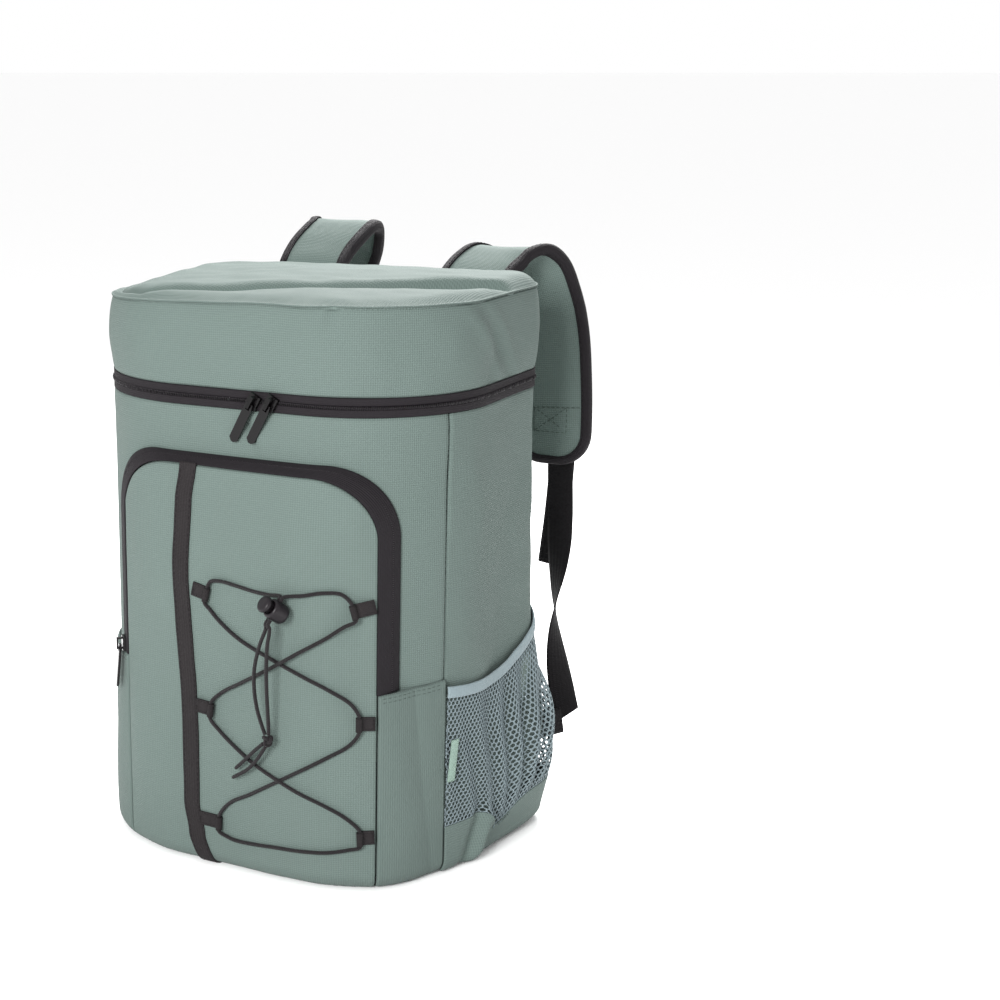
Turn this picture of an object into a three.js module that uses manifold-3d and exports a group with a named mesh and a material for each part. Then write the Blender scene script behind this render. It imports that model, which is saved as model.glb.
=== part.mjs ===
// Soft cooler backpack: a hollow padded body with a zipped lid, a laced front pocket, two net side pockets
// and two padded shoulder straps. Millimetres, +Z up, the front faces -Y, the origin is the centre of the base.
import * as THREE from "three";
import { mergeVertices } from "three/addons/utils/BufferGeometryUtils.js";
import Module from "manifold-3d";

const wasm = await Module();
wasm.setup();

// Driving dimensions of the body and the lid
const bagWidth = 300;
const bagDepth = 215;
const frontCornerRadius = 100;
const backCornerRadius = 30;
const sideSeamAngle = 1.13;
const backSeamShare = 0.75;
const wallThickness = 6;
const backThickness = 8;
const bottomRadius = 14;
const gap = 0.3;
const zipTapeHeight = 5.4;
const zipCoilHeight = 2.4;
const zipTapeThickness = 1.6;
const zipCoilThickness = 3;
const skirtHeight = 58;
const skirtBulge = 3;
const skirtThickness = 5;
const lidThickness = 3.2;
const lidCrown = 9;
const lidCrownReach = 42;
const rimSlope = 4;
const rimSwell = 3;
const pipingRadius = 1.3;
const foldThickness = 2.2;
const foldDepth = 46;
const foldWidthShare = 0.84;
const foldLift = 1.6;

// Driving dimensions of the front pocket
const pocketSheet = 2;
const pocketLeftAngle = 0.489;
const pocketRightAngle = 0.576;
const pocketLeftDepth = 8;
const pocketRightDepth = 14;
const pocketHeight = 310;
const zipAbovePocket = 41;
const pocketUpperPuff = 6;
const pocketLowerPuff = 3;
const pocketPuffReach = 60;
const pocketUpperPuffShare = 0.725;
const pocketLowerPuffShare = 0.29;
const pocketCornerRadius = 46;
const pocketZipRise = 7;
const pocketZipReach = 17;
const pocketZipLeftReach = 19;
const pocketZipEnd = 152;
const gussetStandOff = 2.4;
const gussetSwell = 3;
const stripeCentre = -38;
const stripeWidth = 14;
const webbingThickness = 1.4;

// Driving dimensions of the lacing
const cordDiameter = 2.8;
const tabWidth = 10.5;
const tabSheet = 1.6;
const tabLoopWall = 1.3;
const lockBarrelRadius = 7.5;
const lockBarrelLength = 14;
const lockButtonRadius = 6.3;
const lockButtonThickness = 4;
const lockStemRadius = 4.5;
const lockTravel = 3;
const lockFloor = 1.6;
const lockSideways = 47.5;
const lockHeightShare = 0.6916;
const lockLift = 10.57;
const lockAxis = new THREE.Vector3(-0.4, -0.72, 0.57).normalize();
const knotRadius = 5;

// Driving dimensions of the sliders and pullers
const sliderLength = 11;
const sliderWidth = 9;
const sliderBase = 2.6;
const bailHeight = 4.5;
const bailBar = 1.3;
const bailWidth = 2.4;
const bailSpan = 8;
const pullerLength = 33;
const pullerWidth = 7;
const pullerThickness = 2;
const pullerPivot = 1.5;
const pullerEye = 4.8;
const mainSliderMiddle = 22.4;
const mainSliderSpacing = 14.2;
const mainSliderLean = 0.52;
const mainPullerTilt = 0.09;
const pocketPullerTilt = -0.09;

// Driving dimensions of the net pockets
const netThickness = 1.3;
const netStrandShare = 0.2;
const netColumns = 8;
const netRows = 5;
const netClearance = 1.8;
const netBulge = 23;
const netBulgeSkew = 2.6;
const netBellyShare = 0.47;
const netBellyAbove = 0.3;
const netBellyBelow = 0.5;
const netMouthSlack = 0.06;
const netSag = 4;
const netBandHeight = 39;
const netFrontHeight = 149;
const netBackHeight = 182;
const netBindingHeight = 9;
const labelWidth = 8;
const labelHeight = 32;
const labelBottom = 75;

// Driving dimensions of the shoulder straps
const strapWidth = 68;
const strapThickness = 9;
const strapBindingWidth = 7.5;
const strapBindingProud = 0.7;
const strapSeamGap = 1.4;
const strapReach = 90;
const strapEndHeight = 268;
const strapEndRadius = 27;
const strapEndCentre = 123;
const webbingWidth = 22;
const ladderLockWidth = 34;
const ladderLockHeight = 22;
const ladderLockThickness = 4;
const ladderLockSlot = 4;

// Lengths along the plan outline, measured from the front centre, positive towards +X
const quarterTurn = Math.PI / 2;
const frontStraight = bagWidth / 2 - frontCornerRadius;
const frontArc = frontCornerRadius * quarterTurn;
const sideStraight = bagDepth - frontCornerRadius - backCornerRadius;
const backArc = backCornerRadius * quarterTurn;
const backArcStart = frontStraight + frontArc + sideStraight;
const halfOutline = backArcStart + backArc + bagWidth / 2 - backCornerRadius;
const sideSeam = frontStraight + frontCornerRadius * sideSeamAngle;
const backSeam = backArcStart + backArc * backSeamShare;
const pocketLeft = -(frontStraight + frontCornerRadius * pocketLeftAngle);
const pocketRight = frontStraight + frontCornerRadius * pocketRightAngle;

// Heights
const zipBandBottom = pocketHeight + zipAbovePocket;
const zipCoilBottom = zipBandBottom + zipTapeHeight + gap;
const upperTapeBottom = zipCoilBottom + zipCoilHeight + gap;
const skirtBottom = upperTapeBottom + zipTapeHeight + gap;
const rimBase = skirtBottom + skirtHeight;

const colours = {
  fabric: 0x8a9c94,
  shade: 0x6f8079,
  trim: 0x3c3739,
  black: 0x1c1a1c,
  net: 0x8b9aa0,
  label: 0xb9cdc3,
};

function clamp(value, low, high) {
  return Math.min(Math.max(value, low), high);
}

function mix(a, b, share) {
  return a + (b - a) * share;
}

// The plan outline is a rounded rectangle. The point lies `out` outside it, `along` from the front centre.
function outlineFrame(along) {
  const wrapped = along > halfOutline ? along - 2 * halfOutline : along;
  const side = wrapped < 0 ? -1 : 1;
  const run = Math.abs(wrapped);
  const front = -bagDepth / 2;
  const back = bagDepth / 2;
  if (run <= frontStraight) {
    return { x: side * run, y: front, nx: 0, ny: -1 };
  }
  if (run <= frontStraight + frontArc) {
    const turn = (run - frontStraight) / frontCornerRadius;
    const nx = Math.sin(turn);
    const ny = -Math.cos(turn);
    const x = frontStraight + frontCornerRadius * nx;
    return { x: side * x, y: front + frontCornerRadius * (1 + ny), nx: side * nx, ny };
  }
  if (run <= backArcStart) {
    const y = front + frontCornerRadius + run - frontStraight - frontArc;
    return { x: side * bagWidth / 2, y, nx: side, ny: 0 };
  }
  if (run <= backArcStart + backArc) {
    const turn = (run - backArcStart) / backCornerRadius;
    const nx = Math.cos(turn);
    const ny = Math.sin(turn);
    const x = bagWidth / 2 - backCornerRadius * (1 - nx);
    return { x: side * x, y: back - backCornerRadius * (1 - ny), nx: side * nx, ny };
  }
  return { x: side * (halfOutline - run), y: back, nx: 0, ny: 1 };
}

// Where walls have their corners: the ends of the straights, the seams and even steps between them on the arcs
function outlineStations(from, to) {
  const seamTurnShare = (sideSeam - frontStraight) / frontArc;
  const half = [0, frontStraight / 2];
  for (let k = 0; k <= 5; k += 1) {
    half.push(frontStraight + (frontArc * seamTurnShare * k) / 5);
  }
  half.push(frontStraight + frontArc * (1 + seamTurnShare) / 2, frontStraight + frontArc);
  half.push(frontStraight + frontArc + sideStraight / 2, backArcStart);
  for (let k = 1; k <= 2; k += 1) {
    half.push(backArcStart + (backArc * backSeamShare * k) / 2);
  }
  half.push(backArcStart + backArc, (backArcStart + backArc + halfOutline) / 2, halfOutline);
  const mirrored = half.map((along) => -along);
  const beyond = half.map((along) => 2 * halfOutline - along);
  const low = Math.min(from, to);
  const high = Math.max(from, to);
  const apart = 2;
  const between = [...mirrored, ...half, ...beyond].filter((s) => s > low + apart && s < high - apart);
  between.sort((a, b) => a - b);
  const unique = between.filter((s, k) => k === 0 || s - between[k - 1] > apart);
  const ordered = [low, ...unique, high];
  return from > to ? ordered.reverse() : ordered;
}

function outlinePoint(along, out, height) {
  const at = outlineFrame(along);
  return new THREE.Vector3(at.x + out * at.nx, at.y + out * at.ny, height);
}

// How far a point in plan lies inside the outline
function insideDistance(x, y) {
  const across = Math.abs(x);
  const frontCentre = -bagDepth / 2 + frontCornerRadius;
  const backCentre = bagDepth / 2 - backCornerRadius;
  if (y < frontCentre && across > frontStraight) {
    return frontCornerRadius - Math.hypot(across - frontStraight, frontCentre - y);
  }
  const backStraight = bagWidth / 2 - backCornerRadius;
  if (y > backCentre && across > backStraight) {
    return backCornerRadius - Math.hypot(across - backStraight, y - backCentre);
  }
  return Math.min(bagWidth / 2 - across, y + bagDepth / 2, bagDepth / 2 - y);
}

// The lid's rim rises a little towards +X and swells at the middle
function rimHeight(x) {
  const share = x / (bagWidth / 2);
  return rimBase + rimSlope * share + rimSwell * (1 - share * share);
}

function lidSurface(x, y) {
  const rise = clamp(insideDistance(x, y) / lidCrownReach, 0, 1);
  return rimHeight(x) + lidThickness + lidCrown * (1 - (1 - rise) ** 3);
}

// How far the front pocket's cloth stands outside the outline
function pocketOut(along, height) {
  const share = clamp((along - pocketLeft) / (pocketRight - pocketLeft), 0, 1);
  const across = Math.sin(Math.PI * share) ** 0.7;
  const hump = (share) => Math.exp(-(((height - share * pocketHeight) / pocketPuffReach) ** 2));
  const upperPuff = pocketUpperPuff * hump(pocketUpperPuffShare);
  const lowerPuff = pocketLowerPuff * hump(pocketLowerPuffShare);
  return mix(pocketLeftDepth, pocketRightDepth, share) + across * (upperPuff + lowerPuff);
}

function facePoint(along, height, lift) {
  return outlinePoint(along, pocketOut(along, height) + lift, height);
}

// Builds one closed body from points and triangles, turning it inside out if its faces point in
function closedGeometry(points, triangles) {
  let volume = 0;
  for (const [a, b, c] of triangles) {
    volume += points[a].dot(new THREE.Vector3().crossVectors(points[b], points[c]));
  }
  const ordered = volume < 0 ? triangles.map(([a, b, c]) => [a, c, b]) : triangles;
  const geometry = new THREE.BufferGeometry();
  const positions = points.flatMap((p) => [p.x, p.y, p.z]);
  geometry.setAttribute("position", new THREE.Float32BufferAttribute(positions, 3));
  geometry.setIndex(ordered.flat());
  return geometry;
}

function quad(triangles, a, b, c, d) {
  triangles.push([a, b, c], [a, c, d]);
}

// A sheet with an outer and an inner face, given by functions of two whole numbers, closed along its edges
function slab(columns, rows, outer, inner) {
  const points = [];
  for (const face of [outer, inner]) {
    for (let i = 0; i <= columns; i += 1) {
      for (let j = 0; j <= rows; j += 1) {
        points.push(face(i, j));
      }
    }
  }
  const half = (columns + 1) * (rows + 1);
  const at = (i, j) => i * (rows + 1) + j;
  const triangles = [];
  for (let i = 0; i < columns; i += 1) {
    for (let j = 0; j < rows; j += 1) {
      quad(triangles, at(i, j), at(i + 1, j), at(i + 1, j + 1), at(i, j + 1));
      quad(triangles, half + at(i, j), half + at(i, j + 1), half + at(i + 1, j + 1), half + at(i + 1, j));
    }
  }
  for (let i = 0; i < columns; i += 1) {
    quad(triangles, at(i + 1, 0), at(i, 0), half + at(i, 0), half + at(i + 1, 0));
    quad(triangles, at(i, rows), at(i + 1, rows), half + at(i + 1, rows), half + at(i, rows));
  }
  for (let j = 0; j < rows; j += 1) {
    quad(triangles, at(0, j), at(0, j + 1), half + at(0, j + 1), half + at(0, j));
    quad(triangles, at(columns, j + 1), at(columns, j), half + at(columns, j), half + at(columns, j + 1));
  }
  return closedGeometry(points, triangles);
}

// The same sheet with a hole through every cell, which leaves a net of strands
function netSlab(columns, rows, outer, inner, strandShare) {
  const points = [];
  const corner = [new Map(), new Map()];
  const hole = [new Map(), new Map()];
  const faces = [outer, inner];
  faces.forEach((face, side) => {
    for (let i = 0; i <= columns; i += 1) {
      for (let j = 0; j <= rows; j += 1) {
        corner[side].set(`${i},${j}`, points.push(face(i, j)) - 1);
      }
    }
    for (let i = 0; i < columns; i += 1) {
      for (let j = 0; j < rows; j += 1) {
        const low = strandShare;
        const high = 1 - strandShare;
        const ring = [[low, low], [high, low], [high, high], [low, high]];
        hole[side].set(`${i},${j}`, ring.map(([u, v]) => points.push(face(i + u, j + v)) - 1));
      }
    }
  });
  const triangles = [];
  for (let i = 0; i < columns; i += 1) {
    for (let j = 0; j < rows; j += 1) {
      const keys = [`${i},${j}`, `${i + 1},${j}`, `${i + 1},${j + 1}`, `${i},${j + 1}`];
      const front = keys.map((key) => corner[0].get(key));
      const back = keys.map((key) => corner[1].get(key));
      const holeFront = hole[0].get(keys[0]);
      const holeBack = hole[1].get(keys[0]);
      for (let k = 0; k < 4; k += 1) {
        const next = (k + 1) % 4;
        quad(triangles, front[k], front[next], holeFront[next], holeFront[k]);
        quad(triangles, back[next], back[k], holeBack[k], holeBack[next]);
        quad(triangles, holeFront[k], holeFront[next], holeBack[next], holeBack[k]);
      }
    }
  }
  const rim = [];
  for (let i = 0; i < columns; i += 1) {
    rim.push([`${i + 1},0`, `${i},0`], [`${i},${rows}`, `${i + 1},${rows}`]);
  }
  for (let j = 0; j < rows; j += 1) {
    rim.push([`0,${j}`, `0,${j + 1}`], [`${columns},${j + 1}`, `${columns},${j}`]);
  }
  for (const [from, to] of rim) {
    quad(triangles, corner[0].get(from), corner[0].get(to), corner[1].get(to), corner[1].get(from));
  }
  return closedGeometry(points, triangles);
}

// A bar swept through sections of equally many points, with flat ends
function sweep(sections) {
  const points = sections.flat();
  const count = sections[0].length;
  const triangles = [];
  for (let i = 0; i < sections.length - 1; i += 1) {
    for (let k = 0; k < count; k += 1) {
      const next = (k + 1) % count;
      const here = i * count;
      quad(triangles, here + k, here + next, here + count + next, here + count + k);
    }
  }
  const last = (sections.length - 1) * count;
  for (let k = 1; k < count - 1; k += 1) {
    triangles.push([0, k + 1, k], [last, last + k, last + k + 1]);
  }
  return closedGeometry(points, triangles);
}

// A smooth route that spends as many steps on each stretch between two of its points, long or short
class Route extends THREE.CatmullRomCurve3 {
  getUtoTmapping(share) {
    return share;
  }
}

// A round cord along a smooth curve through the given points
function cordGeometry(points, steps, sides) {
  const section = new THREE.Shape();
  for (let k = 0; k < sides; k += 1) {
    const turn = (2 * Math.PI * k) / sides;
    const x = (cordDiameter / 2) * Math.cos(turn);
    const y = (cordDiameter / 2) * Math.sin(turn);
    if (k === 0) {
      section.moveTo(x, y);
    } else {
      section.lineTo(x, y);
    }
  }
  section.closePath();
  const extrudePath = new Route(points, false, "centripetal");
  return new THREE.ExtrudeGeometry(section, { steps, extrudePath, bevelEnabled: false, curveSegments: 1 });
}

// A box whose edges follow three unit directions, from its low to its high corner in their coordinates
function framedBox(origin, axes, low, high) {
  const middle = low.map((value, k) => (value + high[k]) / 2);
  const geometry = new THREE.BoxGeometry(high[0] - low[0], high[1] - low[1], high[2] - low[2]);
  geometry.translate(...middle);
  geometry.applyMatrix4(new THREE.Matrix4().makeBasis(...axes).setPosition(origin));
  return geometry;
}

function toManifold(geometry) {
  const bare = geometry.clone();
  bare.deleteAttribute("normal");
  bare.deleteAttribute("uv");
  const merged = mergeVertices(bare, 1e-4);
  const triVerts = Uint32Array.from(merged.index.array);
  const vertProperties = Float32Array.from(merged.attributes.position.array);
  return new wasm.Manifold(new wasm.Mesh({ numProp: 3, vertProperties, triVerts }));
}

function fromManifold(solid) {
  const mesh = solid.getMesh();
  const geometry = new THREE.BufferGeometry();
  geometry.setAttribute("position", new THREE.BufferAttribute(mesh.vertProperties, 3));
  geometry.setIndex(new THREE.BufferAttribute(mesh.triVerts, 1));
  return geometry;
}

const backpack = new THREE.Group();

function addMesh(name, geometry, colour, roughness = 0.8, metalness = 0) {
  const material = new THREE.MeshStandardMaterial({ color: colour, roughness, metalness });
  const mesh = new THREE.Mesh(geometry, material);
  mesh.name = name;
  backpack.add(mesh);
}

// A wall that hangs from `top`, then curls under with the bottom radius and ends on the base panel's edge.
// `standOff` gives how far its outer face lies outside the outline at a height.
function curledWall({ stations, rows, top, standOff, thickness, lift = 0 }) {
  const curlSteps = 3;
  const total = rows + curlSteps + 1;
  const place = (i, j, depth) => {
    const along = stations[i];
    const topHeight = top(along);
    const curlTop = bottomRadius + lift;
    if (j <= rows) {
      const height = mix(topHeight, curlTop, j / rows);
      return outlinePoint(along, standOff(along, height) - depth, height);
    }
    const edge = standOff(along, curlTop);
    if (j <= rows + curlSteps) {
      const turn = (quarterTurn * (j - rows)) / curlSteps;
      const radius = bottomRadius - depth;
      const out = edge - bottomRadius + radius * Math.cos(turn);
      return outlinePoint(along, out, curlTop - radius * Math.sin(turn));
    }
    return outlinePoint(along, Math.min(edge, 0) - bottomRadius - 0.01, lift + depth);
  };
  return slab(stations.length - 1, total, (i, j) => place(i, j, 0), (i, j) => place(i, j, thickness));
}

function buildBody() {
  const wallTop = () => zipBandBottom - gap;
  const flat = () => 0;
  const frontLift = pocketSheet + gap;
  const seam = sideSeam - gap / 2;
  addMesh("front_panel", curledWall({
    stations: outlineStations(-seam, seam), rows: 2, top: wallTop, standOff: flat, thickness: wallThickness,
    lift: frontLift,
  }), colours.fabric);
  for (const [name, side] of [["left", -1], ["right", 1]]) {
    addMesh(`side_panel_${name}`, curledWall({
      stations: outlineStations(side * (sideSeam + gap / 2), side * (backSeam - gap / 2)), rows: 2,
      top: wallTop, standOff: flat, thickness: wallThickness,
    }), colours.fabric);
  }
  addMesh("back_panel", curledWall({
    stations: outlineStations(backSeam + gap / 2, 2 * halfOutline - backSeam - gap / 2), rows: 3,
    top: (along) => rimHeight(outlineFrame(along).x) - gap, standOff: flat, thickness: backThickness,
  }), colours.shade);
  const base = new THREE.Shape();
  outlineStations(-halfOutline, halfOutline).slice(1).forEach((along, k) => {
    const at = outlinePoint(along, -bottomRadius - gap, 0);
    if (k === 0) {
      base.moveTo(at.x, at.y);
    } else {
      base.lineTo(at.x, at.y);
    }
  });
  base.closePath();
  const geometry = new THREE.ExtrudeGeometry(base, { depth: wallThickness, bevelEnabled: false });
  addMesh("base_panel", geometry, colours.shade);
}

// A band round the front and both sides, between the two back seams
function band(rows, lowHeight, highHeight, standOff, thickness) {
  const end = backSeam - gap / 2;
  const stations = outlineStations(-end, end);
  const place = (i, j, depth) => {
    const along = stations[i];
    const height = mix(lowHeight(along), highHeight(along), j / rows);
    return outlinePoint(along, standOff(j / rows) - depth, height);
  };
  return slab(stations.length - 1, rows, (i, j) => place(i, j, 0), (i, j) => place(i, j, thickness));
}

function buildMainZip() {
  const level = (height) => () => height;
  const tapeOut = () => zipTapeThickness / 2;
  const coilOut = () => zipTapeThickness / 2 + (zipCoilThickness - zipTapeThickness) / 2;
  addMesh("main_zip_tape_lower", band(1, level(zipBandBottom), level(zipBandBottom + zipTapeHeight),
    tapeOut, zipTapeThickness), colours.trim);
  addMesh("main_zip_coil", band(1, level(zipCoilBottom), level(zipCoilBottom + zipCoilHeight), coilOut,
    zipCoilThickness), colours.black, 0.5);
  addMesh("main_zip_tape_upper", band(1, level(upperTapeBottom), level(upperTapeBottom + zipTapeHeight),
    tapeOut, zipTapeThickness), colours.trim);
}

function buildLid() {
  const skirtTop = (along) => rimHeight(outlineFrame(along).x) - gap;
  const bulge = (share) => skirtBulge * Math.sin(Math.PI * share);
  addMesh("lid_skirt", band(3, () => skirtBottom, skirtTop, bulge, skirtThickness), colours.fabric);

  const shares = [0, 0.07, 0.2, 0.45];
  const rim = outlineStations(-halfOutline, halfOutline).slice(1);
  const around = rim.length;
  const topFace = (along, share) => {
    const edge = outlinePoint(along, 0, 0);
    const x = edge.x * (1 - share);
    const y = edge.y * (1 - share);
    return new THREE.Vector3(x, y, lidSurface(x, y));
  };
  const points = [];
  for (const depth of [0, lidThickness]) {
    for (let i = 0; i < around; i += 1) {
      for (const share of shares) {
        const point = topFace(rim[i], share);
        points.push(new THREE.Vector3(point.x, point.y, point.z - depth));
      }
    }
    points.push(new THREE.Vector3(0, 0, lidSurface(0, 0) - depth));
  }
  const rings = shares.length;
  const half = around * rings + 1;
  const triangles = [];
  for (let i = 0; i < around; i += 1) {
    const here = i * rings;
    const next = ((i + 1) % around) * rings;
    for (let j = 0; j < rings - 1; j += 1) {
      quad(triangles, here + j, next + j, next + j + 1, here + j + 1);
      quad(triangles, half + here + j + 1, half + next + j + 1, half + next + j, half + here + j);
    }
    triangles.push([here + rings - 1, next + rings - 1, half - 1]);
    triangles.push([half + next + rings - 1, half + here + rings - 1, 2 * half - 1]);
    quad(triangles, next, here, half + here, half + next);
  }
  addMesh("lid_top", closedGeometry(points, triangles), colours.fabric);

  const foldColumns = 14;
  const foldRows = 3;
  const foldHalf = foldWidthShare * bagWidth / 2;
  const foldBack = -bagDepth / 2 + foldDepth;
  const frontInset = 3;
  const foldPlace = (i, j, height) => {
    const x = mix(-foldHalf, foldHalf, i / foldColumns);
    const beyond = Math.max(Math.abs(x) - frontStraight, 0);
    const arc = frontCornerRadius - Math.sqrt(frontCornerRadius ** 2 - beyond ** 2);
    const frontEdge = Math.min(-bagDepth / 2 + arc + frontInset, foldBack - frontInset);
    const share = (j / foldRows) ** 1.5;
    const y = mix(frontEdge, foldBack, share);
    const lift = foldLift * share ** 2;
    return new THREE.Vector3(x, y, lidSurface(x, y) + 3 * gap + lift + height);
  };
  addMesh("lid_front_fold", slab(foldColumns, foldRows, (i, j) => foldPlace(i, j, foldThickness),
    (i, j) => foldPlace(i, j, 0)), colours.fabric);

  const pipingSides = 4;
  const sections = [];
  for (const along of outlineStations(-backSeam, backSeam)) {
    const rimTop = rimHeight(outlineFrame(along).x);
    const section = [];
    for (let k = 0; k < pipingSides; k += 1) {
      const turn = (2 * Math.PI * k) / pipingSides;
      const out = gap + pipingRadius * (1.1 + Math.cos(turn));
      section.push(outlinePoint(along, out, rimTop + pipingRadius * Math.sin(turn)));
    }
    sections.push(section);
  }
  addMesh("lid_piping", sweep(sections), colours.label);
}

// The corners of an arch that rises on the left, crosses the top and comes down on the right
const archRise = 3;
const archTurn = 4;
const archAcross = 6;

function archNodes(left, right, top, radius, foot) {
  const nodes = [];
  const rise = top - radius - foot;
  for (let k = 0; k < archRise; k += 1) {
    nodes.push({ along: left, height: foot + (rise * k) / archRise });
  }
  for (let k = 0; k < archTurn; k += 1) {
    const turn = (quarterTurn * k) / archTurn;
    nodes.push({ along: left + radius * (1 - Math.cos(turn)), height: top - radius * (1 - Math.sin(turn)) });
  }
  for (let k = 0; k <= archAcross; k += 1) {
    nodes.push({ along: mix(left + radius, right - radius, k / archAcross), height: top });
  }
  for (let k = 1; k <= archTurn; k += 1) {
    const turn = (quarterTurn * k) / archTurn;
    nodes.push({ along: right - radius * (1 - Math.sin(turn)), height: top - radius * (1 - Math.cos(turn)) });
  }
  for (let k = 1; k <= archRise; k += 1) {
    nodes.push({ along: right, height: top - radius - (rise * k) / archRise });
  }
  return nodes;
}

function buildPocket() {
  const top = archNodes(pocketLeft + gap, pocketRight - gap, pocketHeight - gap, pocketCornerRadius - gap,
    pocketZipEnd).slice(archRise, -archRise);
  const curlSteps = 3;
  const rows = 7;
  const place = (i, j, depth) => {
    const { along, height: edgeHeight } = top[i];
    const curlTop = bottomRadius;
    if (j <= rows) {
      const height = mix(edgeHeight, curlTop, j / rows);
      return outlinePoint(along, pocketOut(along, height) - depth, height);
    }
    const edge = pocketOut(along, curlTop);
    if (j <= rows + curlSteps) {
      const turn = (quarterTurn * (j - rows)) / curlSteps;
      const radius = bottomRadius - depth;
      const out = edge - bottomRadius + radius * Math.cos(turn);
      return outlinePoint(along, out, curlTop - radius * Math.sin(turn));
    }
    return outlinePoint(along, -bottomRadius, depth);
  };
  const total = rows + curlSteps + 1;
  addMesh("pocket_face", slab(top.length - 1, total, (i, j) => place(i, j, 0),
    (i, j) => place(i, j, pocketSheet)), colours.fabric);

  for (const [name, inner, side] of [["left", pocketLeft, -1], ["right", pocketRight, 1]]) {
    const outer = side * (sideSeam - gap / 2);
    const start = inner + side * gap;
    const foot = pocketZipEnd - gap;
    const edgeDepth = pocketOut(inner, foot);
    const standOff = (along, height) => {
      const share = (along - start) / (outer - start);
      const level = clamp(height / foot, 0, 1);
      const swell = gussetSwell * Math.sin(Math.PI * share) * Math.sin(Math.PI * level) ** 0.5;
      return mix(edgeDepth, gussetStandOff, Math.min(1, share * mix(1.2, 2, level))) + swell;
    };
    const stations = [0, 0.17, 0.36, 0.57, 0.78, 1].map((share) => mix(start, outer, share));
    addMesh(`pocket_gusset_${name}`, curledWall({
      stations, rows: 3, top: () => foot, standOff, thickness: pocketSheet,
    }), colours.shade);
  }

  const outerLeft = pocketLeft - pocketZipLeftReach;
  const outerRight = pocketRight + pocketZipReach;
  const outerTop = pocketHeight + pocketZipRise;
  const outerRadius = pocketCornerRadius + pocketZipRise;
  const near = archNodes(pocketLeft, pocketRight, pocketHeight, pocketCornerRadius, pocketZipEnd);
  const far = archNodes(outerLeft, outerRight, outerTop, outerRadius, pocketZipEnd);
  const tapePlace = (i, j, depth) => {
    const raised = pocketOut(near[i].along, near[i].height) + gap;
    const from = outlinePoint(near[i].along, raised, near[i].height);
    const to = outlinePoint(far[i].along, zipTapeThickness + 3 * gap, far[i].height);
    const slope = to.clone().sub(from);
    const crosswise = slope.clone().normalize();
    const at = outlineFrame(mix(near[i].along, far[i].along, 0.5));
    const outward = new THREE.Vector3(at.nx, at.ny, 0);
    const normal = outward.clone().addScaledVector(crosswise, -outward.dot(crosswise)).normalize();
    const direction = j === 0 ? outward.divideScalar(outward.dot(normal)) : normal;
    return from.addScaledVector(slope, j).addScaledVector(direction, -depth);
  };
  addMesh("pocket_zip_tape", slab(near.length - 1, 1, (i, j) => tapePlace(i, j, 0),
    (i, j) => tapePlace(i, j, zipTapeThickness)), colours.trim);

  const stripeRows = rows;
  const stripeTop = pocketHeight - gap;
  const stripeFoot = bottomRadius;
  const stripePlace = (i, j, lift) => {
    const along = stripeCentre + stripeWidth * (j - 0.5);
    return facePoint(along, mix(stripeTop, stripeFoot, i / stripeRows), gap + lift);
  };
  addMesh("accent_stripe", slab(stripeRows, 1, (i, j) => stripePlace(i, j, webbingThickness),
    (i, j) => stripePlace(i, j, 0)), colours.trim);
}

// The frame of a slider: its middle on the cloth, the outward direction and the direction its puller hangs
function sliderFrame(along, height, out, lean) {
  const at = outlineFrame(along);
  const outward = new THREE.Vector3(at.nx, at.ny, 0);
  const sideways = new THREE.Vector3(-at.ny, at.nx, 0);
  const down = new THREE.Vector3(0, 0, -Math.cos(lean));
  const hang = sideways.multiplyScalar(-Math.sin(lean)).add(down).normalize();
  const hinge = new THREE.Vector3().crossVectors(outward, hang);
  return { origin: outlinePoint(along, out, height), axes: [hang, hinge, outward] };
}

// The pocket's slider lies on the slanting tape, on its left leg
function tapeSliderFrame(height) {
  const near = outlinePoint(pocketLeft, pocketOut(pocketLeft, height) + gap, height);
  const farAlong = pocketLeft - pocketZipLeftReach;
  const far = outlinePoint(farAlong, zipTapeThickness + 3 * gap, height);
  const crosswise = far.clone().sub(near).normalize();
  const at = outlineFrame(mix(pocketLeft, farAlong, 0.5));
  const outward = new THREE.Vector3(at.nx, at.ny, 0);
  outward.addScaledVector(crosswise, -outward.dot(crosswise)).normalize();
  const hang = new THREE.Vector3(0, 0, -1);
  const hinge = new THREE.Vector3().crossVectors(outward, hang);
  const origin = near.add(far).multiplyScalar(0.5).addScaledVector(outward, gap);
  return { origin, axes: [hang, hinge, outward] };
}

function sliderGeometry({ origin, axes }) {
  const halfLength = sliderLength / 2;
  const halfWidth = sliderWidth / 2;
  const base = framedBox(origin, axes, [-halfLength, -halfWidth, 0], [halfLength, halfWidth, sliderBase]);
  const legOut = (bailSpan + bailBar) / 2;
  const legIn = (bailSpan - bailBar) / 2;
  const top = sliderBase + bailHeight;
  const rooted = sliderBase - bailBar;
  const block = framedBox(origin, axes, [-legOut, -bailWidth / 2, rooted], [legOut, bailWidth / 2, top]);
  const eye = framedBox(origin, axes, [-legIn, -bailWidth, sliderBase], [legIn, bailWidth, top - bailBar]);
  return fromManifold(toManifold(base).add(toManifold(block).subtract(toManifold(eye))));
}

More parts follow.
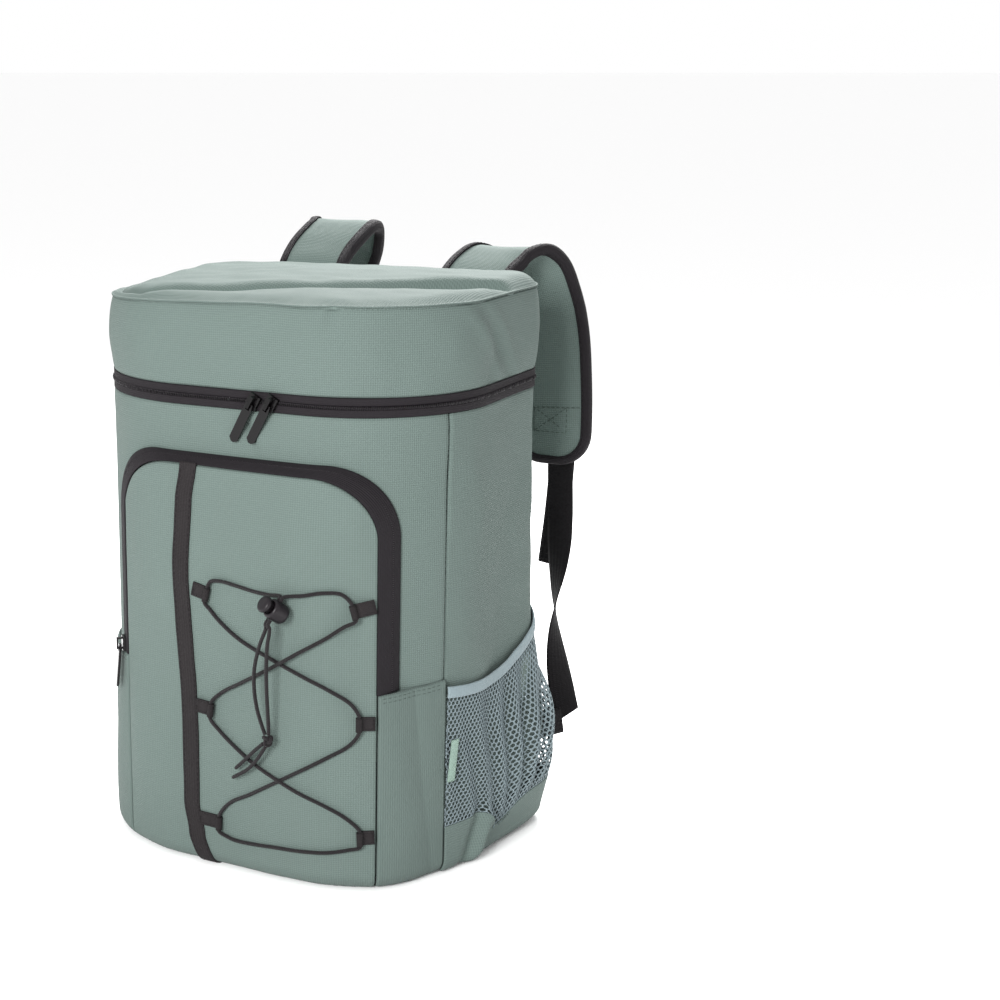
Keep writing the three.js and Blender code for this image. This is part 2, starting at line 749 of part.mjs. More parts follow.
function pullerGeometry({ origin, axes }, tilt) {
  const pivotHeight = sliderBase + (bailHeight - bailBar) / 2;
  const halfWidth = pullerWidth / 2;
  const halfBar = bailBar / 2 + 0.05;
  const holeHalf = bailWidth / 2 + 0.5;
  const tip = pullerWidth / 3;
  const plate = new THREE.Shape();
  plate.moveTo(-halfBar, -halfWidth + 1);
  plate.lineTo(pullerEye, -halfWidth);
  plate.lineTo(pullerLength - tip, -halfWidth);
  plate.lineTo(pullerLength, -tip / 2);
  plate.lineTo(pullerLength, tip / 2);
  plate.lineTo(pullerLength - tip, halfWidth);
  plate.lineTo(pullerEye, halfWidth);
  plate.lineTo(-halfBar, halfWidth - 1);
  plate.closePath();
  const hole = new THREE.Path();
  hole.moveTo(halfBar, -holeHalf);
  hole.lineTo(halfBar, holeHalf);
  hole.lineTo(pullerEye, holeHalf);
  hole.lineTo(pullerEye, -holeHalf);
  hole.closePath();
  plate.holes.push(hole);
  const geometry = new THREE.ExtrudeGeometry(plate, { depth: pullerThickness, bevelEnabled: false });
  geometry.translate(0, 0, -pullerThickness / 2);
  geometry.applyMatrix4(new THREE.Matrix4().makeRotationY(tilt));
  geometry.translate(pullerPivot, 0, pivotHeight);
  geometry.applyMatrix4(new THREE.Matrix4().makeBasis(...axes).setPosition(origin));
  return geometry;
}

function buildSliders() {
  const coilOut = zipTapeThickness / 2 + (zipCoilThickness - zipTapeThickness) / 2 + gap;
  const coilMiddle = zipCoilBottom + zipCoilHeight / 2;
  const mainFrame = (side) => sliderFrame(
    mainSliderMiddle + (side * mainSliderSpacing) / 2,
    coilMiddle,
    coilOut,
    mainSliderLean,
  );
  const pocketFrame = tapeSliderFrame(pocketZipEnd + sliderLength / 2 + 0.5);
  const rows = [
    { name: "main", part: "_left", frame: mainFrame(-1), tilt: mainPullerTilt },
    { name: "main", part: "_right", frame: mainFrame(1), tilt: mainPullerTilt },
    { name: "pocket", part: "", frame: pocketFrame, tilt: pocketPullerTilt },
  ];
  for (const { name, part, frame, tilt } of rows) {
    addMesh(`${name}_slider${part}`, sliderGeometry(frame), colours.black, 0.35, 0.4);
    addMesh(`${name}_puller${part}`, pullerGeometry(frame, tilt), colours.black, 0.3, 0.3);
  }
}

// Cord tabs: a flat tongue sewn at one end, with a loop at the other that holds the cord. The left ones start
// beside the stripe and the right ones at the pocket's edge. Insets and reaches are shares of a tab's width,
// heights shares of the pocket's.
const tabRows = [
  { name: "left_1", side: -1, inset: 0.21, reach: 1.267, height: 0.702, slope: -0.22 },
  { name: "left_2", side: -1, inset: 0.133, reach: 1.39, height: 0.4123, slope: -0.1 },
  { name: "left_3", side: -1, inset: 0.286, reach: 1.762, height: 0.1252, slope: -0.04 },
  { name: "right_1", side: 1, inset: 0.057, reach: 1.524, height: 0.7016, slope: -0.25 },
  { name: "right_2", side: 1, inset: 0.057, reach: 1.143, height: 0.4252, slope: 0 },
  { name: "right_3", side: 1, inset: 0.057, reach: 1.048, height: 0.1432, slope: -0.04 },
];

function tabFrame({ side, inset, reach, height, slope }) {
  const edge = side < 0 ? stripeCentre + stripeWidth / 2 : pocketRight;
  const middle = edge - side * tabWidth * (inset + reach / 2);
  const at = outlineFrame(middle);
  const outward = new THREE.Vector3(at.nx, at.ny, 0);
  const sideways = new THREE.Vector3(-at.ny, at.nx, 0).multiplyScalar(-side);
  const tongue = sideways.add(new THREE.Vector3(0, 0, slope)).normalize();
  const wide = new THREE.Vector3().crossVectors(outward, tongue);
  const origin = facePoint(middle, height * pocketHeight, 2 * gap);
  return { origin, axes: [tongue, outward, wide.negate()], half: (tabWidth * reach) / 2 };
}

const loopRadius = cordDiameter / 2 + gap + 0.25;
const loopRise = loopRadius + tabLoopWall;

// Three points of the cord's route through a tab's loop, from `start` = 1 above to -1 below, or the reverse
function loopPoints(name, start) {
  const row = tabRows.find((tab) => tab.name === name);
  const { origin, half, axes: [tongue, outward, wide] } = tabFrame(row);
  const centre = origin.clone().addScaledVector(tongue, half).addScaledVector(outward, loopRise);
  const upward = wide.z > 0 ? 1 : -1;
  const reach = tabWidth / 2 + 1;
  return [start, 0, -start].map((place) => centre.clone().addScaledVector(wide, place * upward * reach));
}

function buildTabs() {
  const innerRadius = loopRadius;
  const outerRadius = loopRise;
  for (const row of tabRows) {
    const { origin, axes, half } = tabFrame(row);
    const centre = outerRadius;
    const profile = new THREE.Shape();
    profile.moveTo(-half, 0);
    profile.lineTo(half, 0);
    for (let degrees = -60; degrees <= 180; degrees += 40) {
      const turn = THREE.MathUtils.degToRad(degrees);
      profile.lineTo(half + outerRadius * Math.cos(turn), centre + outerRadius * Math.sin(turn));
    }
    profile.lineTo(half - outerRadius - 1, tabSheet);
    profile.lineTo(-half, tabSheet);
    profile.closePath();
    const hole = new THREE.Path();
    const sides = 7;
    for (let k = 0; k <= sides; k += 1) {
      const turn = (-2 * Math.PI * k) / sides;
      const x = half + innerRadius * Math.cos(turn);
      const y = centre + innerRadius * Math.sin(turn);
      if (k === 0) {
        hole.moveTo(x, y);
      } else {
        hole.lineTo(x, y);
      }
    }
    profile.holes.push(hole);
    const geometry = new THREE.ExtrudeGeometry(profile, { depth: tabWidth, bevelEnabled: false });
    geometry.translate(0, 0, -tabWidth / 2);
    geometry.applyMatrix4(new THREE.Matrix4().makeBasis(...axes).setPosition(origin));
    addMesh(`cord_tab_${row.name}`, geometry, colours.trim);
  }
}

// The cord lock's middle, the cords' direction through it, and the direction across the two cords
const lockPoint = facePoint(lockSideways, lockHeightShare * pocketHeight, lockLift);
const lockAlong = new THREE.Vector3(0, 0, 1).addScaledVector(lockAxis, -lockAxis.z).normalize();
const lockAcross = new THREE.Vector3().crossVectors(lockAxis, lockAlong);
const lockCordShift = 2;
const lockCordSpacing = cordDiameter / 2 + 0.15;

function lockCordPoint(side, run) {
  return lockPoint.clone().addScaledVector(lockAxis, lockCordShift).addScaledVector(lockAlong, run)
    .addScaledVector(lockAcross, side * lockCordSpacing);
}

// A cylinder along the lock's axis, between two distances from its middle
function lockCylinder(radius, low, high, sides) {
  const geometry = new THREE.CylinderGeometry(radius, radius, high - low, sides);
  geometry.translate(0, (high + low) / 2, 0);
  const basis = new THREE.Matrix4().makeBasis(lockAlong, lockAxis, lockAcross.clone().negate());
  geometry.applyMatrix4(basis.setPosition(lockPoint));
  return geometry;
}

function lockSlot(low, high) {
  const axes = [lockAlong, lockAxis, lockAcross.clone().negate()];
  const half = 2 * lockCordSpacing + gap;
  const reach = 2 * lockBarrelRadius;
  return framedBox(lockPoint, axes, [-reach, low, -half], [reach, high, half]);
}

function buildLock() {
  const sides = 12;
  const halfLength = lockBarrelLength / 2;
  const cordRadius = cordDiameter / 2 + gap;
  const slotLow = lockCordShift - cordRadius;
  const slotHigh = lockCordShift + cordRadius;
  const floor = lockFloor - halfLength;
  const stemFoot = floor + lockTravel + gap;
  const bore = lockCylinder(lockStemRadius + gap, floor, halfLength + 1, sides);
  const barrel = toManifold(lockCylinder(lockBarrelRadius, -halfLength, halfLength, sides))
    .subtract(toManifold(bore)).subtract(toManifold(lockSlot(slotLow, slotHigh)));
  addMesh("cord_lock_barrel", fromManifold(barrel), colours.black, 0.45);
  const capLow = halfLength + lockTravel + gap;
  const cap = toManifold(lockCylinder(lockButtonRadius, capLow, capLow + lockButtonThickness, sides));
  const stem = toManifold(lockCylinder(lockStemRadius, stemFoot, capLow + 1, sides));
  const button = cap.add(stem).subtract(toManifold(lockSlot(slotLow, slotHigh + lockTravel)));
  addMesh("cord_lock_button", fromManifold(button), colours.trim, 0.45);
}

// The lacing's route over the pocket, chosen by hand: how far along the outline as a share of the pocket's
// right edge, height as a share of the pocket's and lift off the cloth in cord diameters, or the name of a tab
// that it passes through, downwards or upwards
const lacing = [
  [0.3439, 0.7213, 1.4286], [0.223, 0.7226, 0.8571], [0.0743, 0.7303, 0.8571], [-0.0372, 0.7348, 0.8571],
  [-0.1115, 0.7303, 1],
  ["left_1", 1],
  [-0.1255, 0.6619, 0.9286], [-0.0502, 0.6355, 0.8571], [0.1022, 0.5984, 0.8571],
  [0.4089, 0.5542, 0.8571], [0.5762, 0.5297, 1], [0.7249, 0.5032, 1], [0.8457, 0.4729, 0.9286],
  ["right_2", 1],
  [0.8364, 0.3729, 0.9286], [0.697, 0.3374, 1], [0.5576, 0.3026, 1], [0.4043, 0.2665, 0.8571],
  [0.1636, 0.2148, 0.8571], [0, 0.1819, 0.8571],
  ["left_3", 1],
  [-0.0372, 0.0923, 0.8571], [0.0465, 0.0865, 0.8571], [0.3903, 0.0923, 0.8571], [0.5576, 0.0968, 1],
  [0.7063, 0.1019, 1], [0.8364, 0.1129, 1],
  ["right_3", -1],
  [0.8178, 0.1923, 0.9286], [0.697, 0.2194, 1.0714], [0.5437, 0.2465, 1.7143], [0.4043, 0.2697, 1.9643],
  [0.2323, 0.2955, 1.7143], [0.0883, 0.3213, 1.0714], [-0.0558, 0.3568, 0.9286],
  ["left_2", -1],
  [-0.0558, 0.4574, 0.9286], [0.0901, 0.4884, 1.0714], [0.2695, 0.5258, 1.6429],
  [0.4089, 0.5561, 1.9643], [0.5483, 0.5916, 1.6429], [0.697, 0.629, 1.0714], [0.8039, 0.6597, 1],
  ["right_1", -1],
  [0.79, 0.7368, 1], [0.6784, 0.7374, 0.8571], [0.5762, 0.729, 1.2143],
];

// The free ends below the lock, the knot that ties them and its two tails, as offsets from the lock's middle
const cordEndLeft = [
  [-4.9, -6.9, -11.4], [-10, -6.7, -24.4], [-15.3, -5.1, -42.4], [-16.9, -3.1, -59.4], [-15.7, -1.1, -75.4],
  [-12.9, 0.5, -87.4], [-11.08, 1.81, -94.5],
];
const cordEndRight = [
  [-1.7, -7.3, -11.4], [-3.9, -6.7, -24.4], [-5.9, -4.9, -42.4], [-6.9, -2.7, -59.4], [-7.4, -0.5, -75.4],
  [-7.6, 0.9, -87.4], [-8.12, 1.94, -94.3],
];
const knotPoint = [-9.3, 2.7, -99.2];
const cordTailUpper = [
  [-13.31, 3.05, -102.34], [-20.5, 3.9, -108.9], [-29.5, 5.3, -118], [-38.7, 6.5, -127],
];
const cordTailLower = [
  [-11.11, 2.7, -103.97], [-17, 3.1, -113.4], [-27, 4.7, -124.8], [-41.4, 6.7, -134.8],
];

function toVectors(rows) {
  return rows.map((row) => new THREE.Vector3(...row).add(lockPoint));
}

function buildCords() {
  const mouth = lockBarrelRadius;
  const through = [-mouth, 0, mouth, mouth + 3];
  const lacePoints = [
    ...through.map((run) => lockCordPoint(1, run)),
    ...lacing.flatMap(([first, second, lift]) => (lift === undefined
      ? loopPoints(first, second)
      : [facePoint(first * pocketRight, second * pocketHeight, lift * cordDiameter)])),
    ...through.map((run) => lockCordPoint(-1, run)).reverse(),
  ];
  addMesh("bungee_cord", cordGeometry(lacePoints, 2 * (lacePoints.length - 1), 5), colours.black);
  const startLeft = [lockCordPoint(1, -mouth - gap), lockCordPoint(1, -mouth - 4)];
  const startRight = [lockCordPoint(-1, -mouth - gap), lockCordPoint(-1, -mouth - 4)];
  addMesh("cord_end_left", cordGeometry([...startLeft, ...toVectors(cordEndLeft)], 11, 8), colours.black);
  addMesh("cord_end_right", cordGeometry([...startRight, ...toVectors(cordEndRight)], 11, 8), colours.black);
  const knot = new THREE.SphereGeometry(knotRadius, 8, 6);
  knot.translate(...lockPoint.clone().add(new THREE.Vector3(...knotPoint)));
  addMesh("cord_knot", knot, colours.black);
  addMesh("cord_tail_upper", cordGeometry(toVectors(cordTailUpper), 5, 8), colours.black);
  addMesh("cord_tail_lower", cordGeometry(toVectors(cordTailLower), 6, 8), colours.black);
}

// Net side pockets. Across, `share` goes from the front seam to the back one. The net's elastic mouth is snug,
// and the net hangs out most below its middle and towards the back.
function netTop(share) {
  const sag = netSag * Math.sin(Math.PI * clamp(share / 0.6, 0, 1));
  return mix(netFrontHeight, netBackHeight, clamp((share - 0.45) / 0.55, 0, 1) ** 2) - sag;
}

function netOut(share, height) {
  const across = Math.max(Math.sin(Math.PI * share ** netBulgeSkew), 0) ** 0.8;
  const above = height / netTop(share) - netBellyShare;
  const reach = above > 0 ? netBellyAbove : netBellyBelow;
  const belly = mix(netMouthSlack, 1, Math.exp(-((above / reach) ** 2)));
  return gap + netThickness + netClearance + netBulge * across * belly;
}

function buildNetPocket(name, side) {
  const from = sideSeam + gap;
  const to = backSeam - gap;
  const sheet = (low, high, rows) => (i, j) => {
    const share = 1 - (1 - i / netColumns) ** 1.3;
    const height = mix(low(share), high(share), j / rows);
    return { share, height, along: side * mix(from, to, share) };
  };
  const flat = (at, depth) => outlinePoint(at.along, netOut(at.share, at.height) - depth, at.height);
  const bandTop = () => netBandHeight;
  const netHigh = (share) => netTop(share) - netBindingHeight - gap;
  const net = sheet(() => netBandHeight + gap, netHigh, netRows);
  addMesh(`net_${name}`, netSlab(netColumns, netRows, (i, j) => flat(net(i, j), 0),
    (i, j) => flat(net(i, j), netThickness), netStrandShare), colours.net);

  const binding = sheet((share) => netTop(share) - netBindingHeight, netTop, 1);
  addMesh(`net_binding_${name}`, slab(netColumns, 1, (i, j) => flat(binding(i, j), -gap),
    (i, j) => flat(binding(i, j), netThickness)), colours.net);

  // The band below the net hangs straight, then curls in under the bag with the wall behind it
  const straightRows = 2;
  const curlTurns = [0.35, 0.7];
  const bandSheet = sheet(() => bottomRadius, () => netBandHeight, straightRows);
  const bandPlace = (i, j, depth) => {
    if (j <= straightRows) {
      return flat(bandSheet(i, straightRows - j), depth);
    }
    const at = bandSheet(i, 0);
    const turn = curlTurns[j - straightRows - 1];
    const radius = bottomRadius + netOut(at.share, bottomRadius) - depth;
    const fall = (bottomRadius + gap + netThickness + netClearance - depth) * Math.sin(turn);
    return outlinePoint(at.along, radius * Math.cos(turn) - bottomRadius, bottomRadius - fall);
  };
  const bandRows = straightRows + curlTurns.length;
  addMesh(`net_band_${name}`, slab(netColumns, bandRows, (i, j) => bandPlace(i, j, 0),
    (i, j) => bandPlace(i, j, netThickness)), colours.shade);
}

function buildLabel() {
  const start = sideSeam + gap;
  const place = (i, j, depth) => {
    const along = start + labelWidth * i;
    const share = (along - start) / (backSeam - start);
    const height = labelBottom + labelHeight * j;
    return outlinePoint(along, netOut(share, height) + gap + 1 - depth, height);
  };
  addMesh("seam_label", slab(1, 3, (i, j) => place(i, j / 3, 0), (i, j) => place(i, j / 3, 1)), colours.label);
}

// Shoulder straps. The rows give how far behind the back the strap lies, as a share of its reach, its height
// as a share of the way from its end to its crest, and how far across it has moved towards its end.
const strapRows = [
  { behind: 0.061, rise: 0.6, right: 0, left: 0, width: 0.9 },
  { behind: 0.064, rise: 0.74, right: 0, left: 0, width: 0.9 },
  { behind: 0.15, rise: 0.84, right: 0, left: 0, width: 0.9 },
  { behind: 0.32, rise: 0.91, right: 0.05, left: 0, width: 0.92 },
  { behind: 0.5, rise: 0.965, right: 0.12, left: -0.04, width: 0.93 },
  { behind: 0.68, rise: 1, right: 0.25, left: -0.06, width: 0.95 },
  { behind: 0.84, rise: 0.985, right: 0.42, left: 0, width: 0.97 },
  { behind: 0.95, rise: 0.92, right: 0.58, left: 0.08, width: 1 },
  { behind: 1, rise: 0.8, right: 0.72, left: 0.24, width: 1 },
  { behind: 1.02, rise: 0.62, right: 0.86, left: 0.5, width: 1 },
  { behind: 1, rise: 0.4, right: 0.95, left: 0.78, width: 1 },
  { behind: 0.97, rise: 0.2, right: 1, left: 0.95, width: 1 },
  { behind: 0.94, rise: 0, right: 1, left: 1, width: 1 },
];
// Where each strap starts, as a share of half the bag's width, and how far its crest lies above the rim, as a
// share of its reach
const strapSides = [
  { name: "right", side: 1, start: 0.5, crest: 0.199 },
  { name: "left", side: -1, start: 0.4067, crest: 0.3767 },
];

function strapSurface({ name, side, start, crest }) {
  const points = strapRows.map((row) => new THREE.Vector3(
    side * mix((start * bagWidth) / 2, strapEndCentre, row[name]),
    bagDepth / 2 + strapReach * row.behind,
    mix(strapEndHeight, rimBase + strapReach * crest, row.rise),
  ));
  const curve = new THREE.CatmullRomCurve3(points, false, "centripetal");
  const length = curve.getLength();
  const widthAt = (share) => {
    const place = clamp(share, 0, 1) * (strapRows.length - 1);
    const row = Math.min(Math.floor(place), strapRows.length - 2);
    return strapWidth * mix(strapRows[row].width, strapRows[row + 1].width, place - row);
  };
  // A point by its distance from the strap's end, its place across, and its height off the middle surface
  const point = (fromEnd, across, height) => {
    const share = clamp(1 - fromEnd / length, 0, 1);
    const tangent = curve.getTangentAt(share);
    const wide = new THREE.Vector3(1, 0, 0).addScaledVector(tangent, -tangent.x).normalize();
    const normal = new THREE.Vector3().crossVectors(wide, tangent);
    return curve.getPointAt(share).addScaledVector(wide, across).addScaledVector(normal, height);
  };
  return { length, point, half: (fromEnd) => widthAt(1 - fromEnd / length) / 2 };
}

function buildStrap(row) {
  const { length, point, half } = strapSurface(row);
  const arcSteps = 4;
  const runs = 13;
  const inset = strapBindingWidth + strapSeamGap;
  const padRadius = strapEndRadius - inset;
  const padRows = [];
  for (let k = 0; k < arcSteps; k += 1) {
    const turn = (quarterTurn * k) / arcSteps;
    const fromEnd = inset + padRadius * (1 - Math.cos(turn));
    padRows.push({ fromEnd, across: half(fromEnd) - strapEndRadius + padRadius * Math.sin(turn) });
  }
  for (let k = 0; k <= runs; k += 1) {
    const fromEnd = mix(strapEndRadius, length, k / runs);
    padRows.push({ fromEnd, across: half(fromEnd) - inset });
  }
  const padColumns = 3;
  const padPlace = (i, j, side) => {
    const { fromEnd, across } = padRows[i];
    const spread = mix(-1, 1, j / padColumns);
    const crown = 1 - 0.22 * spread ** 2;
    return point(fromEnd, across * spread, (side * crown * strapThickness) / 2);
  };
  addMesh(`strap_pad_${row.name}`, slab(padRows.length - 1, padColumns, (i, j) => padPlace(i, j, 1),
    (i, j) => padPlace(i, j, -1)), colours.shade);

  // The binding follows one edge down, goes round the end and comes up the other edge
  const edge = [];
  for (let k = runs; k >= 0; k -= 1) {
    const fromEnd = mix(strapEndRadius, length, k / runs);
    edge.push({ fromEnd, across: half(fromEnd), inFrom: 0, inAcross: -1 });
  }
  for (let k = arcSteps - 1; k >= 0; k -= 1) {
    const turn = (quarterTurn * k) / arcSteps;
    const fromEnd = strapEndRadius * (1 - Math.cos(turn));
    const across = half(fromEnd) - strapEndRadius * (1 - Math.sin(turn));
    edge.push({ fromEnd, across, inFrom: Math.cos(turn), inAcross: -Math.sin(turn) });
  }
  const mirrored = edge.map((at) => ({ ...at, across: -at.across, inAcross: -at.inAcross })).reverse();
  const thick = strapThickness / 2 + strapBindingProud;
  const bindPlace = (i, j, side) => {
    const { fromEnd, across, inFrom, inAcross } = [...edge, ...mirrored][i];
    const deep = j * strapBindingWidth;
    return point(fromEnd + inFrom * deep, across + inAcross * deep, side * thick * mix(0.7, 1, j));
  };
  addMesh(`strap_binding_${row.name}`, slab(2 * edge.length - 1, 1, (i, j) => bindPlace(i, j, 1),
    (i, j) => bindPlace(i, j, -1)), colours.trim);
}

// Webbing below each strap, by rows along its middle line: how far across it lies, as a share of the way from
// the strap's end to the bag's side, how far behind the back, as a share of the strap's reach, its height as a
// share of the strap end's, how much of the strap's thickness it keeps off, and the turn of its width about Z
const webbingRows = [
  { across: 0.259, behind: 0.9567, height: 1.0933, off: 1, turn: 0 },
  { across: 0.259, behind: 0.9467, height: 1.0299, off: 1, turn: 0 },
  { across: 0.278, behind: 0.9478, height: 0.9328, off: 1, turn: 0 },
  { across: 0.315, behind: 0.93, height: 0.8433, off: 1, turn: 0.05 },
  { across: 0.389, behind: 0.87, height: 0.7649, off: 1, turn: -0.1 },
  { across: 0.489, behind: 0.77, height: 0.6791, off: 1, turn: -0.55 },
  { across: 0.593, behind: 0.676, height: 0.5858, off: 0.8, turn: -1.08 },
  { across: 0.756, behind: 0.5931, height: 0.5, off: 0.6, turn: -1.6 },
  { across: 0.981, behind: 0.5102, height: 0.4104, off: 0.4, turn: -2.1 },
  { across: 1.241, behind: 0.4384, height: 0.3284, off: 0.2, turn: -2.45 },
  { across: 1.481, behind: 0.3878, height: 0.2612, off: 0, turn: -2.6 },
];
const tailRows = [
  { across: 0.222, behind: 0.9589, height: 1.1045, off: 1, turn: 0 },
  { across: 0.207, behind: 0.9589, height: 1.0299, off: 1, turn: 0 },
  { across: 0.17, behind: 0.9544, height: 0.9328, off: 1, turn: 0 },
  { across: 0.096, behind: 0.9456, height: 0.8284, off: 1, turn: -0.05 },
  { across: 0.022, behind: 0.9344, height: 0.7463, off: 1, turn: -0.08 },
  { across: -0.052, behind: 0.9256, height: 0.6716, off: 1, turn: -0.1 },
];
const anchorRows = [
  { across: -0.556, behind: 0.0011, height: 0.2146 },
  { across: -0.037, behind: 0.0033, height: 0.2201 },
  { across: 0.481, behind: 0.07, height: 0.2295 },
  { across: 0.963, behind: 0.2011, height: 0.2425 },
  { across: 1.415, behind: 0.3422, height: 0.253 },
];

function webbingPoint({ across, behind, height, off = 0 }, side, behindLock) {
  const seat = webbingThickness / 2 + gap + off * (strapThickness / 2 + strapBindingProud) + behindLock;
  const y = bagDepth / 2 + seat + strapReach * behind;
  return new THREE.Vector3(side * mix(strapEndCentre, bagWidth / 2, across), y, strapEndHeight * height);
}

function ribbon(rows, side, steps, upright, behindLock = 0) {
  const middle = new THREE.CatmullRomCurve3(rows.map((row) => webbingPoint(row, side, behindLock)));
  const place = (i, j, depth) => {
    const share = i / steps;
    const run = share * (rows.length - 1);
    const row = Math.min(Math.floor(run), rows.length - 2);
    const turn = upright ? 0 : mix(rows[row].turn, rows[row + 1].turn, run - row);
    const tangent = middle.getTangent(share);
    const flat = new THREE.Vector3(side * Math.cos(turn), Math.sin(turn), 0);
    const wish = upright ? new THREE.Vector3(0, 0, 1) : flat;
    const wide = wish.addScaledVector(tangent, -wish.dot(tangent)).normalize();
    const normal = new THREE.Vector3().crossVectors(tangent, wide);
    return middle.getPoint(share).addScaledVector(wide, (j - 0.5) * webbingWidth)
      .addScaledVector(normal, depth * webbingThickness);
  };
  return slab(steps, 1, (i, j) => place(i, j, 0.5), (i, j) => place(i, j, -0.5));
}

function buildWebbing(name, side) {
  addMesh(`strap_webbing_${name}`, ribbon(webbingRows, side, 20, false), colours.black);
  const behindLock = webbingThickness + 2 * gap + ladderLockThickness;
  addMesh(`webbing_tail_${name}`, ribbon(tailRows, side, 8, false, behindLock), colours.black);
  addMesh(`webbing_anchor_${name}`, ribbon(anchorRows, side, 5, true), colours.black);
  const top = webbingPoint(webbingRows[0], side, 0);
  const seat = webbingPoint(webbingRows[1], side, 0);
  const plate = new THREE.Shape();
  const halfWidth = ladderLockWidth / 2;
  const halfHeight = ladderLockHeight / 2;
  plate.moveTo(-halfWidth, -halfHeight);
  plate.lineTo(halfWidth, -halfHeight);
  plate.lineTo(halfWidth, halfHeight);
  plate.lineTo(-halfWidth, halfHeight);
  plate.closePath();
  for (const centre of [-ladderLockHeight / 4, ladderLockHeight / 4]) {
    const slotHalf = webbingWidth / 2 + 1;
    const slot = new THREE.Path();
    slot.moveTo(-slotHalf, centre - ladderLockSlot / 2);
    slot.lineTo(-slotHalf, centre + ladderLockSlot / 2);
    slot.lineTo(slotHalf, centre + ladderLockSlot / 2);
    slot.lineTo(slotHalf, centre - ladderLockSlot / 2);
    slot.closePath();
    plate.holes.push(slot);
  }
  const geometry = new THREE.ExtrudeGeometry(plate, { depth: ladderLockThickness, bevelEnabled: false });
  geometry.rotateX(quarterTurn);
  const faceY = top.y + webbingThickness / 2 + gap + ladderLockThickness;
  geometry.translate(seat.x, faceY, seat.z + halfHeight);
  addMesh(`ladder_lock_${name}`, geometry, colours.black, 0.4);
}

buildBody();
buildMainZip();
buildLid();
buildPocket();
buildSliders();
buildTabs();
buildLock();
buildCords();
buildNetPocket("left", -1);
buildNetPocket("right", 1);
buildLabel();
for (const row of strapSides) {
  buildStrap(row);
  buildWebbing(row.name, row.side);
}

export default backpack;
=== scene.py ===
import math

import bpy
from mathutils import Matrix, Vector, noise


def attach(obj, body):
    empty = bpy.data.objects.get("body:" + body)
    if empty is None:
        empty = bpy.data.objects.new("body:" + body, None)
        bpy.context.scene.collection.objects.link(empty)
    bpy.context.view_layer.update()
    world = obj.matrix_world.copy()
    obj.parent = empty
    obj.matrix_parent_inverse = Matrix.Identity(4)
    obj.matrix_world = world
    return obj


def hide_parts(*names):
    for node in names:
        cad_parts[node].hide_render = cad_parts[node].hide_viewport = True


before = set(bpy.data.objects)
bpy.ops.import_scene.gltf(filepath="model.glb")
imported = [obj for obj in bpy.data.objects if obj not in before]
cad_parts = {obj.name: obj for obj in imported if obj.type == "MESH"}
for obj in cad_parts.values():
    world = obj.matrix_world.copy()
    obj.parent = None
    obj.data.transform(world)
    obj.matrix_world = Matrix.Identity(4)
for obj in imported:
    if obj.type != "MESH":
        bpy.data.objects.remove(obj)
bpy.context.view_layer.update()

# Lengths below are millimetres, as in the frame's own source; MM turns them into metres
MM = 0.001

# Body
WIDTH = 300.0
DEPTH = 215.0
FRONT_RADIUS = 100.0
BACK_RADIUS = 30.0
SEAM_ANGLE = 1.13
BACK_SEAM_SHARE = 0.75
BOTTOM_RADIUS = 14.0
PANEL = 3.0
TAPE_HEIGHT = 5.4
COIL_HEIGHT = 2.4
COIL_PITCH = 1.5
GAP = 0.3
SKIRT_HEIGHT = 58.0
SKIRT_BULGE = 3.2
STRIP_DEPTH = 44.0
STRIP_SLANT = 0.53
STRIP_PUFF = 5.5
LID_CLOTH = 2.4
LID_CROWN = 8.5
LID_RISE = 18.0
RIM_SLOPE = 4.0
RIM_SWELL = 3.0

# Front pocket
POCKET_LEFT_ANGLE = 0.489
POCKET_RIGHT_ANGLE = 0.576
POCKET_LEFT_DEPTH = 8.0
POCKET_RIGHT_DEPTH = 14.0
POCKET_HEIGHT = 310.0
ZIP_ABOVE_POCKET = 41.0
POCKET_RADIUS = 46.0
ZIP_RISE = 7.0
ZIP_REACH_RIGHT = 17.0
ZIP_REACH_LEFT = 19.0
ZIP_END = 152.0
# Where the coil runs, as a share of the tape's width from the pocket outwards
COIL_SHARE = 0.62
STRIPE_CENTRE = -38.0
STRIPE_WIDTH = 14.0

# Lacing
CORD = 2.8
LOOP_RADIUS = CORD / 2 + GAP + 0.25
LOOP_RISE = LOOP_RADIUS + 1.3
TAB_WIDTH = 10.5
LOCK_SIDEWAYS = 47.5
LOCK_HEIGHT = 0.6916
LOCK_LIFT = 10.57
LOCK_AXIS = Vector((-0.4, -0.72, 0.57)).normalized()
LOCK_RADIUS = 7.5
LOCK_HALF = 7.0

# Net pockets
NET_THICKNESS = 1.3
NET_CLEARANCE = 1.8
NET_BULGE = 23.0
NET_SKEW = 2.6
NET_BELLY = 0.47
NET_ABOVE = 0.3
NET_BELOW = 0.5
NET_SLACK = 0.06
NET_BAND = 39.0
NET_FRONT = 149.0
NET_BACK = 182.0
NET_BINDING = 9.0
NET_SAG = 4.0
NET_CELL = 4.0
NET_YARN = 1.1
# A row of hexagonal cells and a cell's corner, as shares of the cell's width
HEX_ROW = 0.866
HEX_CORNER = 1.1547
# How far the side wall puffs out behind the net
SIDE_PUFF = 16

# Straps
STRAP_WIDTH = 68.0
STRAP_THICKNESS = 9.0
STRAP_REACH = 90.0
STRAP_END_HEIGHT = 268.0
STRAP_END_RADIUS = 27.0
STRAP_END_CENTRE = 123.0
STRAP_BINDING = 7.5
WEBBING = 22.0
WEBBING_THICKNESS = 1.4
LADDER_LOCK = 4.0

